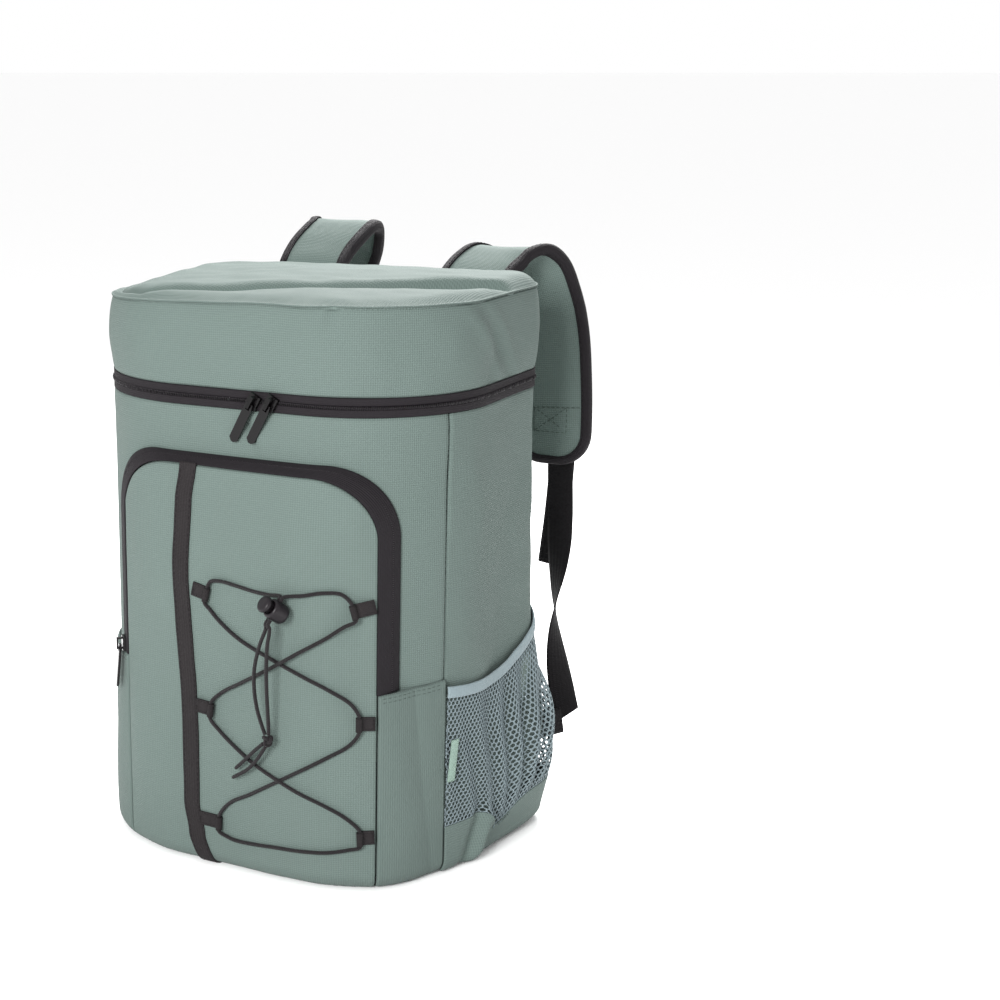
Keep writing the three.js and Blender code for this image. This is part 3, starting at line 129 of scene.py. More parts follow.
CURL_RUN = BOTTOM_RADIUS * math.pi / 2
ZIP_BOTTOM = POCKET_HEIGHT + ZIP_ABOVE_POCKET
FRONT_FLAT = WIDTH / 2 - FRONT_RADIUS
FRONT_ARC = FRONT_RADIUS * math.pi / 2
SIDE_FLAT = DEPTH - FRONT_RADIUS - BACK_RADIUS
BACK_ARC = BACK_RADIUS * math.pi / 2
BACK_START = FRONT_FLAT + FRONT_ARC + SIDE_FLAT
HALF = BACK_START + BACK_ARC + WIDTH / 2 - BACK_RADIUS
SIDE_SEAM = FRONT_FLAT + FRONT_RADIUS * SEAM_ANGLE
BACK_SEAM = BACK_START + BACK_ARC * BACK_SEAM_SHARE
POCKET_LEFT = -(FRONT_FLAT + FRONT_RADIUS * POCKET_LEFT_ANGLE)
POCKET_RIGHT = FRONT_FLAT + FRONT_RADIUS * POCKET_RIGHT_ANGLE
COIL_BOTTOM = ZIP_BOTTOM + TAPE_HEIGHT + GAP
UPPER_TAPE = COIL_BOTTOM + COIL_HEIGHT + GAP
SKIRT_BOTTOM = UPPER_TAPE + TAPE_HEIGHT + GAP
RIM = SKIRT_BOTTOM + SKIRT_HEIGHT


def clamp(value, low, high):
    return min(max(value, low), high)


def mix(a, b, share):
    return a + (b - a) * share


def ripple(x, y, wavelength, seed=0.0):
    """A smooth bump pattern between about -1 and 1, the same on each run."""
    return 1.8 * noise.noise(Vector((x / wavelength, y / wavelength, seed)))


def hump(x, middle, reach):
    return math.exp(-(((x - middle) / reach) ** 2))


# Camera: at the photograph's angle and distance
CAMERA_PLACE = Vector((696.7, -1294.0, 599.2)) * MM
CAMERA_RIGHT = Vector((0.8805, 0.4741, 0.0))
CAMERA_UP = Vector((-0.12, 0.2228, 0.9678))
CAMERA_LENS = 70.38
CAMERA_SHIFT = (0.192, 0.060)


def make_camera():
    data = bpy.data.cameras.new("camera")
    camera = bpy.data.objects.new("camera", data)
    bpy.context.scene.collection.objects.link(camera)
    data.sensor_width = 36.0
    data.lens = CAMERA_LENS
    data.shift_x, data.shift_y = CAMERA_SHIFT
    data.clip_end = 50.0
    right = CAMERA_RIGHT.normalized()
    up = (CAMERA_UP - CAMERA_UP.dot(right) * right).normalized()
    back = right.cross(up)
    turn = Matrix((right, up, back)).transposed().to_4x4()
    camera.matrix_world = Matrix.Translation(CAMERA_PLACE) @ turn
    bpy.context.scene.camera = camera


def make_light(name, place, target, size, power):
    data = bpy.data.lights.new(name, "AREA")
    data.size = size
    data.energy = power
    light = bpy.data.objects.new(name, data)
    bpy.context.scene.collection.objects.link(light)
    light.location = Vector(place)
    light.rotation_mode = "QUATERNION"
    light.rotation_quaternion = (Vector(target) - Vector(place)).to_track_quat("-Z", "Y")


# Materials
def linear(red, green, blue):
    def channel(value):
        value /= 255.0
        return value / 12.92 if value <= 0.04045 else ((value + 0.055) / 1.055) ** 2.4

    return (channel(red), channel(green), channel(blue), 1.0)


class Shader:
    """A material with small helpers for adding and joining its nodes."""

    def __init__(self, name, roughness, sheen=0.0):
        self.material = bpy.data.materials.new(name)
        self.material.use_nodes = True
        self.tree = self.material.node_tree
        self.shader = self.tree.nodes["Principled BSDF"]
        self.shader.inputs["Roughness"].default_value = roughness
        self.shader.inputs["Sheen Weight"].default_value = sheen
        self.shader.inputs["Sheen Roughness"].default_value = 0.45
        self.shader.inputs["Specular IOR Level"].default_value = 0.15

    def node(self, kind, operation=None, values=(), **sockets):
        made = self.tree.nodes.new(kind)
        if operation:
            made.operation = operation
        for index, value in enumerate(values):
            self.feed(made.inputs[index], value)
        for key, value in sockets.items():
            self.feed(made.inputs[key.replace("_", " ")], value)
        return made

    def feed(self, socket, value):
        if isinstance(value, bpy.types.NodeSocket):
            self.tree.links.new(value, socket)
        else:
            socket.default_value = value

    def maths(self, operation, *values):
        return self.node("ShaderNodeMath", operation, values).outputs[0]

    def blend(self, share, first, second):
        made = self.tree.nodes.new("ShaderNodeMix")
        made.data_type = "RGBA"
        self.feed(made.inputs[0], share)
        self.feed(made.inputs[6], first)
        self.feed(made.inputs[7], second)
        return made.outputs[2]

    def uv(self):
        coordinates = self.tree.nodes.new("ShaderNodeTexCoord")
        split = self.node("ShaderNodeSeparateXYZ", values=(coordinates.outputs["UV"],))
        return split.outputs[0], split.outputs[1]

    def noise(self, scale, detail=2.0):
        coordinates = self.tree.nodes.new("ShaderNodeTexCoord")
        made = self.node("ShaderNodeTexNoise", Vector=coordinates.outputs["Object"], Scale=scale,
                         Detail=detail)
        return made.outputs[0]

    def wave(self, coordinate, period):
        return self.maths("SINE", self.maths("MULTIPLY", coordinate, 2 * math.pi / period))

    def bump(self, height, distance):
        made = self.node("ShaderNodeBump", Height=height, Distance=distance, Strength=1.0)
        self.feed(self.shader.inputs["Normal"], made.outputs[0])

    def colour(self, value):
        self.feed(self.shader.inputs["Base Color"], value)


def scaled(colour, factor):
    return tuple(channel * factor for channel in colour[:3]) + (1.0,)


def cloth(name, colour, pitch=3.2, contrast=0.16, roughness=0.8, sheen=0.03, depth=0.16):
    """Woven polyester: threads over and under each other on the bias, with slight uneven shade."""
    made = Shader(name, roughness, sheen)
    along, up = made.uv()
    rising = made.wave(made.maths("ADD", along, up), pitch)
    falling = made.wave(made.maths("SUBTRACT", along, up), pitch)
    threads = made.maths("MULTIPLY", rising, falling)
    fine = made.noise(2600.0, 1.0)
    broad = made.noise(9.0, 3.0)
    shade = made.maths("MULTIPLY_ADD", threads, 0.5, 0.5)
    worn = made.maths("MULTIPLY_ADD", broad, 0.35, made.maths("MULTIPLY_ADD", fine, 0.3, -0.32))
    share = made.maths("ADD", shade, worn)
    made.colour(made.blend(share, scaled(colour, 1 - contrast), scaled(colour, 1 + contrast)))
    made.bump(threads, depth * MM)
    return made.material


def tape(name, colour, pitch=1.1, across=2.2, contrast=0.2, roughness=0.75, depth=0.25):
    """Narrow woven tape: ribs across it, broken by the warp threads."""
    made = Shader(name, roughness)
    along, wide = made.uv()
    ribs = made.wave(along, pitch)
    warp = made.wave(wide, across)
    threads = made.maths("MULTIPLY_ADD", warp, 0.6, made.maths("MULTIPLY", ribs, 0.7))
    broad = made.noise(24.0, 3.0)
    share = made.maths("MULTIPLY_ADD", threads, 0.3, made.maths("MULTIPLY_ADD", broad, 0.6, 0.2))
    made.colour(made.blend(share, scaled(colour, 1 - contrast), scaled(colour, 1 + contrast)))
    made.bump(threads, depth * MM)
    return made.material


def braid(name, colour):
    """Braided cord cover: two sets of threads wound opposite ways."""
    made = Shader(name, 0.6, 0.05)
    along, around = made.uv()
    first = made.wave(made.maths("ADD", along, around), 1.5)
    second = made.wave(made.maths("SUBTRACT", along, around), 1.5)
    threads = made.maths("MAXIMUM", first, second)
    share = made.maths("MULTIPLY_ADD", threads, 0.4, 0.4)
    made.colour(made.blend(share, scaled(colour, 0.6), scaled(colour, 1.5)))
    made.bump(threads, 0.16 * MM)
    return made.material


def moulded(name, colour, roughness, grain):
    """Moulded plastic: slight unevenness in shade and in the surface."""
    made = Shader(name, roughness)
    made.shader.inputs["Specular IOR Level"].default_value = 0.2
    broad = made.noise(60.0, 3.0)
    fine = made.noise(1500.0, 2.0)
    made.colour(made.blend(broad, scaled(colour, 0.8), scaled(colour, 1.25)))
    made.bump(fine, grain * MM)
    return made.material


def fold_binding(name, colour):
    """Folded elastic binding: fine ribs along it and a stitched line near its lower edge."""
    made = Shader(name, 0.6, 0.1)
    along, wide = made.uv()
    ribs = made.wave(wide, 1.0)
    stitch = made.wave(along, 2.6)
    threads = made.maths("MULTIPLY_ADD", stitch, 0.25, ribs)
    share = made.maths("MULTIPLY_ADD", threads, 0.25, made.maths("MULTIPLY_ADD", made.noise(30.0), 0.5, 0.25))
    made.colour(made.blend(share, scaled(colour, 0.88), scaled(colour, 1.12)))
    made.bump(threads, 0.12 * MM)
    return made.material


GREEN = linear(83, 95, 91)
# The next colour is the same green cloth made a little darker, as painted shade for the back and base panels
GREEN_PAINTED_SHADE = linear(80, 92, 88)
DARK = linear(33, 30, 31)
NET_BLUE = linear(120, 133, 137)

cloth_green = cloth("cloth_green", GREEN)
# A copy of the cloth material in the darker green, which carries painted shade
cloth_shade = cloth("cloth_shade", GREEN_PAINTED_SHADE)
tape_dark = tape("tape_dark", DARK)
tape_zip = tape("tape_zip", linear(27, 24, 27), pitch=0.9, across=1.5, depth=0.15)
webbing_black = tape("webbing_black", linear(15, 13, 15), pitch=1.3, across=3.6, contrast=0.14, depth=0.15)
binding_dark = tape("binding_dark", linear(25, 22, 25), pitch=1.0, across=1.7, depth=0.2)
cord_black = braid("cord_black", linear(24, 21, 23))
net_yarn = tape("net_yarn", NET_BLUE, pitch=0.8, across=0.8, contrast=0.1, roughness=0.6)
binding_net = fold_binding("binding_net", linear(117, 131, 135))
label_cloth = cloth("label_cloth", linear(132, 154, 143), pitch=0.8, contrast=0.05)
gloss_black = moulded("gloss_black", linear(6, 5, 6), 0.22, 0.02)
coil_black = moulded("coil_black", linear(28, 25, 28), 0.3, 0.02)
satin_dark = moulded("satin_dark", linear(24, 21, 24), 0.35, 0.05)
thread_green = cloth("thread_green", linear(70, 81, 76), pitch=0.5, contrast=0.2)
thread_dark = cloth("thread_dark", linear(24, 21, 23), pitch=0.5, contrast=0.2)


# Shapes
def make_mesh(name, points, faces, uvs, material, body="root", slot=None, replaces=None):
    """A piece from points and uvs in millimetres. It replaces the node its name begins with, unless told."""
    mesh = bpy.data.meshes.new(name)
    mesh.from_pydata([Vector(p) * MM for p in points], [], faces)
    layer = mesh.uv_layers.new(name="UVMap")
    for loop in mesh.loops:
        layer.data[loop.index].uv = uvs[loop.vertex_index]
    mesh.polygons.foreach_set("use_smooth", [True] * len(mesh.polygons))
    mesh.materials.append(material)
    mesh.update()
    obj = bpy.data.objects.new(name, mesh)
    bpy.context.scene.collection.objects.link(obj)
    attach(obj, body)
    if replaces is None:
        node = name.rsplit("_", 1)[0]
        replaces = [node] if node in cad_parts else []
    if replaces:
        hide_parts(*replaces)
    return obj


def thicken(obj, thickness):
    solid = obj.modifiers.new("thickness", "SOLIDIFY")
    solid.thickness = thickness * MM
    solid.offset = -1.0


def grid_faces(columns, rows, closed=False):
    faces = []
    across = rows + 1
    for i in range(columns):
        here = i * across
        there = ((i + 1) % columns if closed else i + 1) * across
        for j in range(rows):
            faces.append((here + j, there + j, there + j + 1, here + j + 1))
    return faces


def surface(name, columns, rows, place, material, thickness, uv=None, **extra):
    """A sheet given by place(share across, share up), thickened inwards."""
    points = [place(i / columns, j / rows) for i in range(columns + 1) for j in range(rows + 1)]
    if uv is None:
        middle = [points[i * (rows + 1) + rows // 2] for i in range(columns + 1)]
        column = points[(columns // 2) * (rows + 1):(columns // 2 + 1) * (rows + 1)]
        wide = sum((b - a).length for a, b in zip(middle, middle[1:]))
        tall = sum((b - a).length for a, b in zip(column, column[1:]))
        uvs = [(wide * i / columns, tall * j / rows) for i in range(columns + 1) for j in range(rows + 1)]
    else:
        uvs = [uv(i / columns, j / rows) for i in range(columns + 1) for j in range(rows + 1)]
    obj = make_mesh(name, points, grid_faces(columns, rows), uvs, material, **extra)
    thicken(obj, thickness)
    return obj


def sweep(name, sections, material, around, **extra):
    """A bar through sections of equally many points; around gives each point's distance round the section."""
    count = len(sections[0])
    points = [p for section in sections for p in section]
    faces = []
    for i in range(len(sections) - 1):
        for k in range(count):
            there = (k + 1) % count
            faces.append((i * count + k, i * count + there, (i + 1) * count + there, (i + 1) * count + k))
    faces.append(tuple(reversed(range(count))))
    start = (len(sections) - 1) * count
    faces.append(tuple(start + k for k in range(count)))
    run = 0.0
    uvs = []
    for i, section in enumerate(sections):
        if i:
            run += (section[0] - sections[i - 1][0]).length
        uvs += [(run, around[k]) for k in range(count)]
    return make_mesh(name, points, faces, uvs, material, **extra)


def tangents(points):
    result = []
    for i in range(len(points)):
        a = points[max(i - 1, 0)]
        b = points[min(i + 1, len(points) - 1)]
        result.append((b - a).normalized())
    return result


def tube(name, points, radius, material, sides=10, taper=None, **extra):
    """A round bar along points, turned as little as possible from one section to the next."""
    directions = tangents(points)
    first = Vector((0, 0, 1)) if abs(directions[0].z) < 0.9 else Vector((1, 0, 0))
    normal = (first - first.dot(directions[0]) * directions[0]).normalized()
    sections = []
    for i, (point, direction) in enumerate(zip(points, directions)):
        normal = (normal - normal.dot(direction) * direction).normalized()
        side = direction.cross(normal)
        size = radius * (taper(i / (len(points) - 1)) if taper else 1.0)
        section = []
        for k in range(sides):
            turn = 2 * math.pi * k / sides
            section.append(point + normal * size * math.cos(turn) + side * size * math.sin(turn))
        sections.append(section)
    around = [2 * math.pi * radius * k / sides for k in range(sides)]
    return sweep(name, sections, material, around, **extra)


def smooth_route(points, steps):
    """Centripetal Catmull-Rom curve through points, with that many steps between each two."""
    result = []
    count = len(points)
    for i in range(count - 1):
        p1, p2 = points[i], points[i + 1]
        p0 = points[i - 1] if i else p1 * 2 - p2
        p3 = points[i + 2] if i + 2 < count else p2 * 2 - p1
        t0 = 0.0
        t1 = t0 + max((p1 - p0).length, 1e-6) ** 0.5
        t2 = t1 + max((p2 - p1).length, 1e-6) ** 0.5
        t3 = t2 + max((p3 - p2).length, 1e-6) ** 0.5
        for k in range(steps if i < count - 2 else steps + 1):
            t = t1 + (t2 - t1) * k / steps
            a1 = p0 * ((t1 - t) / (t1 - t0)) + p1 * ((t - t0) / (t1 - t0))
            a2 = p1 * ((t2 - t) / (t2 - t1)) + p2 * ((t - t1) / (t2 - t1))
            a3 = p2 * ((t3 - t) / (t3 - t2)) + p3 * ((t - t2) / (t3 - t2))
            b1 = a1 * ((t2 - t) / (t2 - t0)) + a2 * ((t - t0) / (t2 - t0))
            b2 = a2 * ((t3 - t) / (t3 - t1)) + a3 * ((t - t1) / (t3 - t1))
            result.append(b1 * ((t2 - t) / (t2 - t1)) + b2 * ((t - t1) / (t2 - t1)))
    return result


def route_length(points):
    return sum((b - a).length for a, b in zip(points, points[1:]))


def stitches(name, lines, material, length=2.8, space=1.5, radius=0.32, sink=0.12, **extra):
    """Rows of short thread stitches; each line is a list of (point, outward direction)."""
    points, faces, uvs = [], [], []
    for line in lines:
        run = 0.0
        marks = [0.0]
        for (a, _), (b, _) in zip(line, line[1:]):
            run += (b - a).length
            marks.append(run)
        start = space
        index = 0
        while start + length < run:
            ends = []
            for at in (start, start + length / 2, start + length):
                while index < len(marks) - 2 and marks[index + 1] < at:
                    index += 1
                share = (at - marks[index]) / max(marks[index + 1] - marks[index], 1e-9)
                point = line[index][0].lerp(line[index + 1][0], share)
                ends.append((point, line[index][1]))
            direction = (ends[2][0] - ends[0][0]).normalized()
            base = len(points)
            for (point, outward), size in zip(ends, (0.45, 1.0, 0.45)):
                side = direction.cross(outward).normalized()
                middle = point + outward * (radius * size * 0.4 - sink)
                for k in range(5):
                    turn = 2 * math.pi * k / 5
                    points.append(middle + side * radius * size * math.cos(turn)
                                  + outward * radius * size * math.sin(turn))
                    uvs.append((start, k * 0.3))
            for row in range(2):
                for k in range(5):
                    there = (k + 1) % 5
                    low = base + row * 5
                    faces.append((low + k, low + there, low + 5 + there, low + 5 + k))
            faces.append(tuple(base + k for k in reversed(range(5))))
            faces.append(tuple(base + 10 + k for k in range(5)))
            start += length + space
    return make_mesh(name, points, faces, uvs, material, replaces=(), **extra)


# The plan outline and the surfaces that hang from it, as in the frame's source
def outline_frame(along):
    wrapped = along - 2 * HALF if along > HALF else along
    side = -1.0 if wrapped < 0 else 1.0
    run = abs(wrapped)
    front, back = -DEPTH / 2, DEPTH / 2
    if run <= FRONT_FLAT:
        return side * run, front, 0.0, -1.0
    if run <= FRONT_FLAT + FRONT_ARC:
        turn = (run - FRONT_FLAT) / FRONT_RADIUS
        nx, ny = math.sin(turn), -math.cos(turn)
        return side * (FRONT_FLAT + FRONT_RADIUS * nx), front + FRONT_RADIUS * (1 + ny), side * nx, ny
    if run <= BACK_START:
        return side * WIDTH / 2, front + FRONT_RADIUS + run - FRONT_FLAT - FRONT_ARC, side, 0.0
    if run <= BACK_START + BACK_ARC:
        turn = (run - BACK_START) / BACK_RADIUS
        nx, ny = math.cos(turn), math.sin(turn)
        x = WIDTH / 2 - BACK_RADIUS * (1 - nx)
        return side * x, back - BACK_RADIUS * (1 - ny), side * nx, ny
    return side * (HALF - run), back, 0.0, 1.0


def outline_point(along, out, height):
    x, y, nx, ny = outline_frame(along)
    return Vector((x + out * nx, y + out * ny, height))


def outward_at(along):
    _, _, nx, ny = outline_frame(along)
    return Vector((nx, ny, 0.0))


def inside_distance(x, y):
    across = abs(x)
    front_centre = -DEPTH / 2 + FRONT_RADIUS
    back_centre = DEPTH / 2 - BACK_RADIUS
    if y < front_centre and across > FRONT_FLAT:
        return FRONT_RADIUS - math.hypot(across - FRONT_FLAT, front_centre - y)
    back_flat = WIDTH / 2 - BACK_RADIUS
    if y > back_centre and across > back_flat:
        return BACK_RADIUS - math.hypot(across - back_flat, y - back_centre)
    return min(WIDTH / 2 - across, y + DEPTH / 2, DEPTH / 2 - y)


def rim_height(x):
    share = x / (WIDTH / 2)
    return RIM + RIM_SLOPE * share + RIM_SWELL * (1 - share * share)


def front_edge(x):
    """The outline's y at its front, for a place across."""
    beyond = clamp(abs(x) - FRONT_FLAT, 0, FRONT_RADIUS)
    return -DEPTH / 2 + FRONT_RADIUS - math.sqrt(FRONT_RADIUS ** 2 - beyond ** 2)


def lid_height(x, y):
    """A puffed strip behind the front rim, a dip, and the crowned rest of the lid."""
    front = front_edge(x)
    line = max(STRIP_SLANT * x - STRIP_DEPTH, front + 10) + 1.5 * ripple(x, 0, 70, 15.0)
    strip = clamp((y - front) / (line - front), 0, 1)
    puff = STRIP_PUFF * math.sin(math.pi * strip ** 0.85) ** 0.7
    behind = clamp((y - line) / LID_RISE, 0, 1)
    low_corner = hump(x, -150, 42) * hump(y, -45, 62)
    crown = LID_CROWN * (1 - (1 - behind) ** 2.4) * (1 - 0.85 * low_corner)
    edge = 1 - (1 - clamp(inside_distance(x, y) / 16, 0, 1)) ** 2.5
    slit = 9.0 * hump(y, line + 2, 3.6) * clamp((x - 75) / 25, 0, 1) * clamp((146 - x) / 10, 0, 1)
    dip = 3.4 * hump(y, line, 4.0)
    return rim_height(x) + 0.8 + edge * (puff + crown - slit - dip)


def pocket_out(along, height):
    share = clamp((along - POCKET_LEFT) / (POCKET_RIGHT - POCKET_LEFT), 0, 1)
    across = math.sin(math.pi * share) ** 0.7
    upper = 6 * math.exp(-(((height - 0.725 * POCKET_HEIGHT) / 60) ** 2))
    lower = 3 * math.exp(-(((height - 0.29 * POCKET_HEIGHT) / 60) ** 2))
    return mix(POCKET_LEFT_DEPTH, POCKET_RIGHT_DEPTH, share) + across * (upper + lower)


def face_wrinkle(along, height):
    """Small dents of the pocket's cloth, dying out at its edges."""
    edge = clamp(min(along - POCKET_LEFT, POCKET_RIGHT - along) / 12, 0, 1)
    top = clamp((POCKET_HEIGHT - height) / 14, 0, 1)
    soft = 1.5 * ripple(along, height * 0.6, 62, 3.1) + 0.6 * ripple(along, height, 26, 7.7)
    pull = 2.2 * hump(along, 92, 12) * (hump(height, 150, 18) + hump(height, 203, 12))
    pull += 1.2 * hump(along, -54, 12) * hump(height, 118, 40)
    pull -= 1.2 * hump(along, 70, 12) * hump(height, 190, 22)
    return edge * top * (soft - pull)


def face_point(along, height, lift):
    return outline_point(along, pocket_out(along, height) + lift, height)


def edge_roll(distance, radius):
    """How far cloth drops as it turns in at a seam, this far from it."""
    if distance >= radius:
        return 0.0
    return radius - math.sqrt(max(radius ** 2 - (radius - max(distance, 0.0)) ** 2, 0.0))


def curl_point(along, edge, run, lift):
    """A point of a wall's bottom curl, run millimetres below where it starts."""
    turn = clamp(run / BOTTOM_RADIUS, 0, math.pi / 2)
    out = edge - BOTTOM_RADIUS + BOTTOM_RADIUS * math.cos(turn)
    height = BOTTOM_RADIUS + lift - BOTTOM_RADIUS * math.sin(turn)
    beyond = max(run - CURL_RUN, 0.0)
    return outline_point(along, out - beyond, max(height, lift))


def wall(name, start, end, top, out, material, columns, rows, thickness=PANEL, lift=0.0, roll=(1.6, 1.6),
         top_roll=0.0):
    """A wall of the body from top to the base, its edges turned in at the seams."""
    low, high = min(start, end), max(start, end)

    def place(u, v):
        along = mix(low, high, u)
        top_height = top(along)
        straight = top_height - BOTTOM_RADIUS - lift
        run = (1 - v) * (straight + CURL_RUN)
        drop = edge_roll(along - low, roll[0]) + edge_roll(high - along, roll[1])
        drop += edge_roll(run, top_roll) if top_roll else 0.0
        if run <= straight:
            height = top_height - run
            return outline_point(along, out(along, height) - drop, height)
        return curl_point(along, out(along, BOTTOM_RADIUS) - drop, run - straight, lift)

    def uv(u, v):
        return mix(low, high, u), v * (ZIP_BOTTOM + CURL_RUN - BOTTOM_RADIUS)

    return surface(name, columns, rows, place, material, thickness, uv)


def make_body():
    seam = SIDE_SEAM - GAP / 2

    def front_out(along, height):
        above = clamp((height - 300) / 30, 0, 1)
        fade = clamp((ZIP_BOTTOM - height) / 8, 0, 1)
        crease = 2.6 * hump(along + 0.3 * (height - 330), 12, 3.5) * hump(height, 334, 13)
        crease -= 1.8 * hump(along + 0.3 * (height - 330), 20, 5) * hump(height, 332, 14)
        return fade * (0.9 * ripple(along, height, 48, 1.0) + 0.3) * above - crease * above

    def side_out(along, height):
        fade = clamp((ZIP_BOTTOM - height) / 10, 0, 1)
        dent = 1.6 * hump(abs(along), 268, 22) * hump(height, 330, 60)
        share = (abs(along) - SIDE_SEAM) / (BACK_SEAM - SIDE_SEAM)
        dent -= SIDE_PUFF * hump(share, 0.76, 0.25) * hump(height, 82, 58)
        soft = 1.4 * ripple(along, height * 0.35, 46, 2.0) + 0.5 * ripple(along, height, 24, 5.0)
        return fade * soft - dent

    wall_top = ZIP_BOTTOM - GAP
    front = wall("front_panel_cloth", -seam, seam, lambda s: wall_top, front_out, cloth_green, 150, 130,
                 lift=2.3)
    for name, side in (("left", -1), ("right", 1)):
        panel = wall("side_panel_%s_cloth" % name, side * (SIDE_SEAM + GAP / 2), side * (BACK_SEAM - GAP / 2),
                     lambda s: wall_top, side_out, cloth_green, 90, 130)

    def back_out(along, height):
        across = abs(HALF - along)
        pad = clamp((118 - across) / 14, 0, 1) * clamp((height - 30) / 14, 0, 1)
        pad *= clamp((395 - height) / 14, 0, 1)
        return -1.2 + 1.2 * (1 - (1 - pad) ** 2) + 0.3 * pad * ripple(across, height, 50, 4.0)

    # The back panel takes the darker cloth copy with painted shade
    back = wall("back_panel_cloth", BACK_SEAM + GAP / 2, 2 * HALF - BACK_SEAM - GAP / 2,
                lambda s: rim_height(outline_frame(s)[0]) - GAP, back_out, cloth_shade, 110, 120)
    around = 160
    rings = (0.0, 0.02, 0.3, 0.6)
    points, uvs, faces = [], [], []
    for i in range(around):
        along = mix(-HALF, HALF, i / around)
        for ring in rings:
            p = outline_point(along, -BOTTOM_RADIUS - GAP, 0)
            x, y = p.x * (1 - ring), p.y * (1 - ring)
            points.append(Vector((x, y, 0.6 if ring == 0 else 0.0)))
            uvs.append((x, y))
    points.append(Vector((0, 0, 0)))
    uvs.append((0, 0))
    count = len(rings)
    for i in range(around):
        here, there = i * count, ((i + 1) % around) * count
        for j in range(count - 1):
            faces.append((here + j, here + j + 1, there + j + 1, there + j))
        faces.append((here + count - 1, len(points) - 1, there + count - 1))
    # The base takes the darker cloth copy with painted shade
    base = make_mesh("base_panel_cloth", points, faces, uvs, cloth_shade)
    thicken(base, PANEL)


def band(name, columns, rows, low, high, out, material, thickness, end=BACK_SEAM - GAP / 2, **extra):
    def place(u, v):
        along = mix(-end, end, u)
        height = mix(low(along), high(along), v)
        return outline_point(along, out(along, v, height), height)

    def uv(u, v):
        return mix(-end, end, u), v * (high(0) - low(0))

    return surface(name, columns, rows, place, material, thickness, uv, **extra)


def zip_sag(along):
    """The zip band waves a little where the cloth pulls on it."""
    return 0.5 * ripple(along, 0, 60, 9.0)


def make_main_zip():
    def tape_out(along, v, height):
        return 0.8 + zip_sag(along) * 0.6

    band("main_zip_tape_lower_weave", 260, 4, lambda s: ZIP_BOTTOM, lambda s: ZIP_BOTTOM + TAPE_HEIGHT + 0.3,
         tape_out, tape_zip, 1.4)
    band("main_zip_tape_upper_weave", 260, 4, lambda s: UPPER_TAPE - 0.3, lambda s: UPPER_TAPE + TAPE_HEIGHT,
         tape_out, tape_zip, 1.4)
    middle = COIL_BOTTOM + COIL_HEIGHT / 2
    turns = int(2 * BACK_SEAM / COIL_PITCH)
    steps = 9
    route = []
    for k in range(turns * steps + 1):
        along = -BACK_SEAM + COIL_PITCH * k / steps
        turn = 2 * math.pi * k / steps
        route.append(outline_point(along, 1.0 + 0.55 * math.cos(turn) + zip_sag(along) * 0.6,
                                   middle + 1.15 * math.sin(turn)))
    tube("main_zip_coil_teeth", route, 0.36, coil_black, sides=4)


def make_lid():
    def skirt_out(along, v, height):
        puff = SKIRT_BULGE * math.sin(math.pi * clamp(v * 1.02, 0, 1)) ** 0.75
        fade = math.sin(math.pi * clamp(v, 0, 1)) ** 0.6
        soft = 1.1 * ripple(along, height * 0.7, 50, 11.0) + 0.5 * ripple(along, height, 22, 12.0)
        slanted = along + 0.9 * (height - SKIRT_BOTTOM)
        corner = 2.4 * hump(slanted, 232, 9) - 2.6 * hump(slanted, 250, 9) + 1.8 * hump(slanted, 266, 8)
        corner += 1.6 * hump(along, -176, 10) * v - 1.6 * hump(along, 128, 18) * v
        corner -= 2.0 * hump(along, 214, 10) * hump(v, 0.25, 0.3)
        pinch = 2.2 * hump(along - 9 * v, 66, 4) * hump(v, 0.98, 0.2)
        return puff + fade * (soft + corner) - pinch - edge_roll((1 - v) * SKIRT_HEIGHT, 1.6) * 0.5

    def skirt_top(along):
        x = outline_frame(along)[0]
        return rim_height(x) - GAP + 0.35 * ripple(along, 0, 34, 13.0)

    skirt = band("lid_skirt_cloth", 280, 40, lambda s: SKIRT_BOTTOM - 0.2, skirt_top, skirt_out, cloth_green,
                 2.5)

    piping_steps = 240
    sections = []
    for i in range(piping_steps + 1):
        along = mix(-BACK_SEAM, BACK_SEAM, i / piping_steps)
        rim = rim_height(outline_frame(along)[0]) + 0.35 * ripple(along, 0, 34, 13.0)
        pinch = 1.2 * hump(along, 76, 4)
        section = []
        for k in range(8):
            turn = 2 * math.pi * k / 8
            out = 0.3 - pinch + 0.8 * math.cos(turn)
            section.append(outline_point(along, out, rim + 0.3 + 0.9 * math.sin(turn)))
        sections.append(section)
    sweep("lid_piping_cloth", sections, cloth_green, [k * 0.8 for k in range(8)])

    def top_point(u, v):
        along = mix(-HALF, HALF, u)
        edge = outline_point(along, 0.2, 0)
        share = v ** 1.3
        x, y = edge.x * (1 - share), edge.y * (1 - share)
        inner = clamp(inside_distance(x, y) / 12, 0, 1)
        soft = 1.3 * ripple(x, y, 70, 16.0) + 0.7 * ripple(x, y * 1.6, 30, 17.0)
        return Vector((x, y, lid_height(x, y) + inner * soft))

    columns, rows = 320, 64
    points = [top_point(i / columns, j / rows) for i in range(columns) for j in range(rows + 1)]
    uvs = [(p.x, p.y) for p in points]
    top = make_mesh("lid_top_cloth", points, grid_faces(columns, rows, closed=True), uvs, cloth_green,
                    replaces=["lid_top", "lid_front_fold"])
    thicken(top, LID_CLOTH)


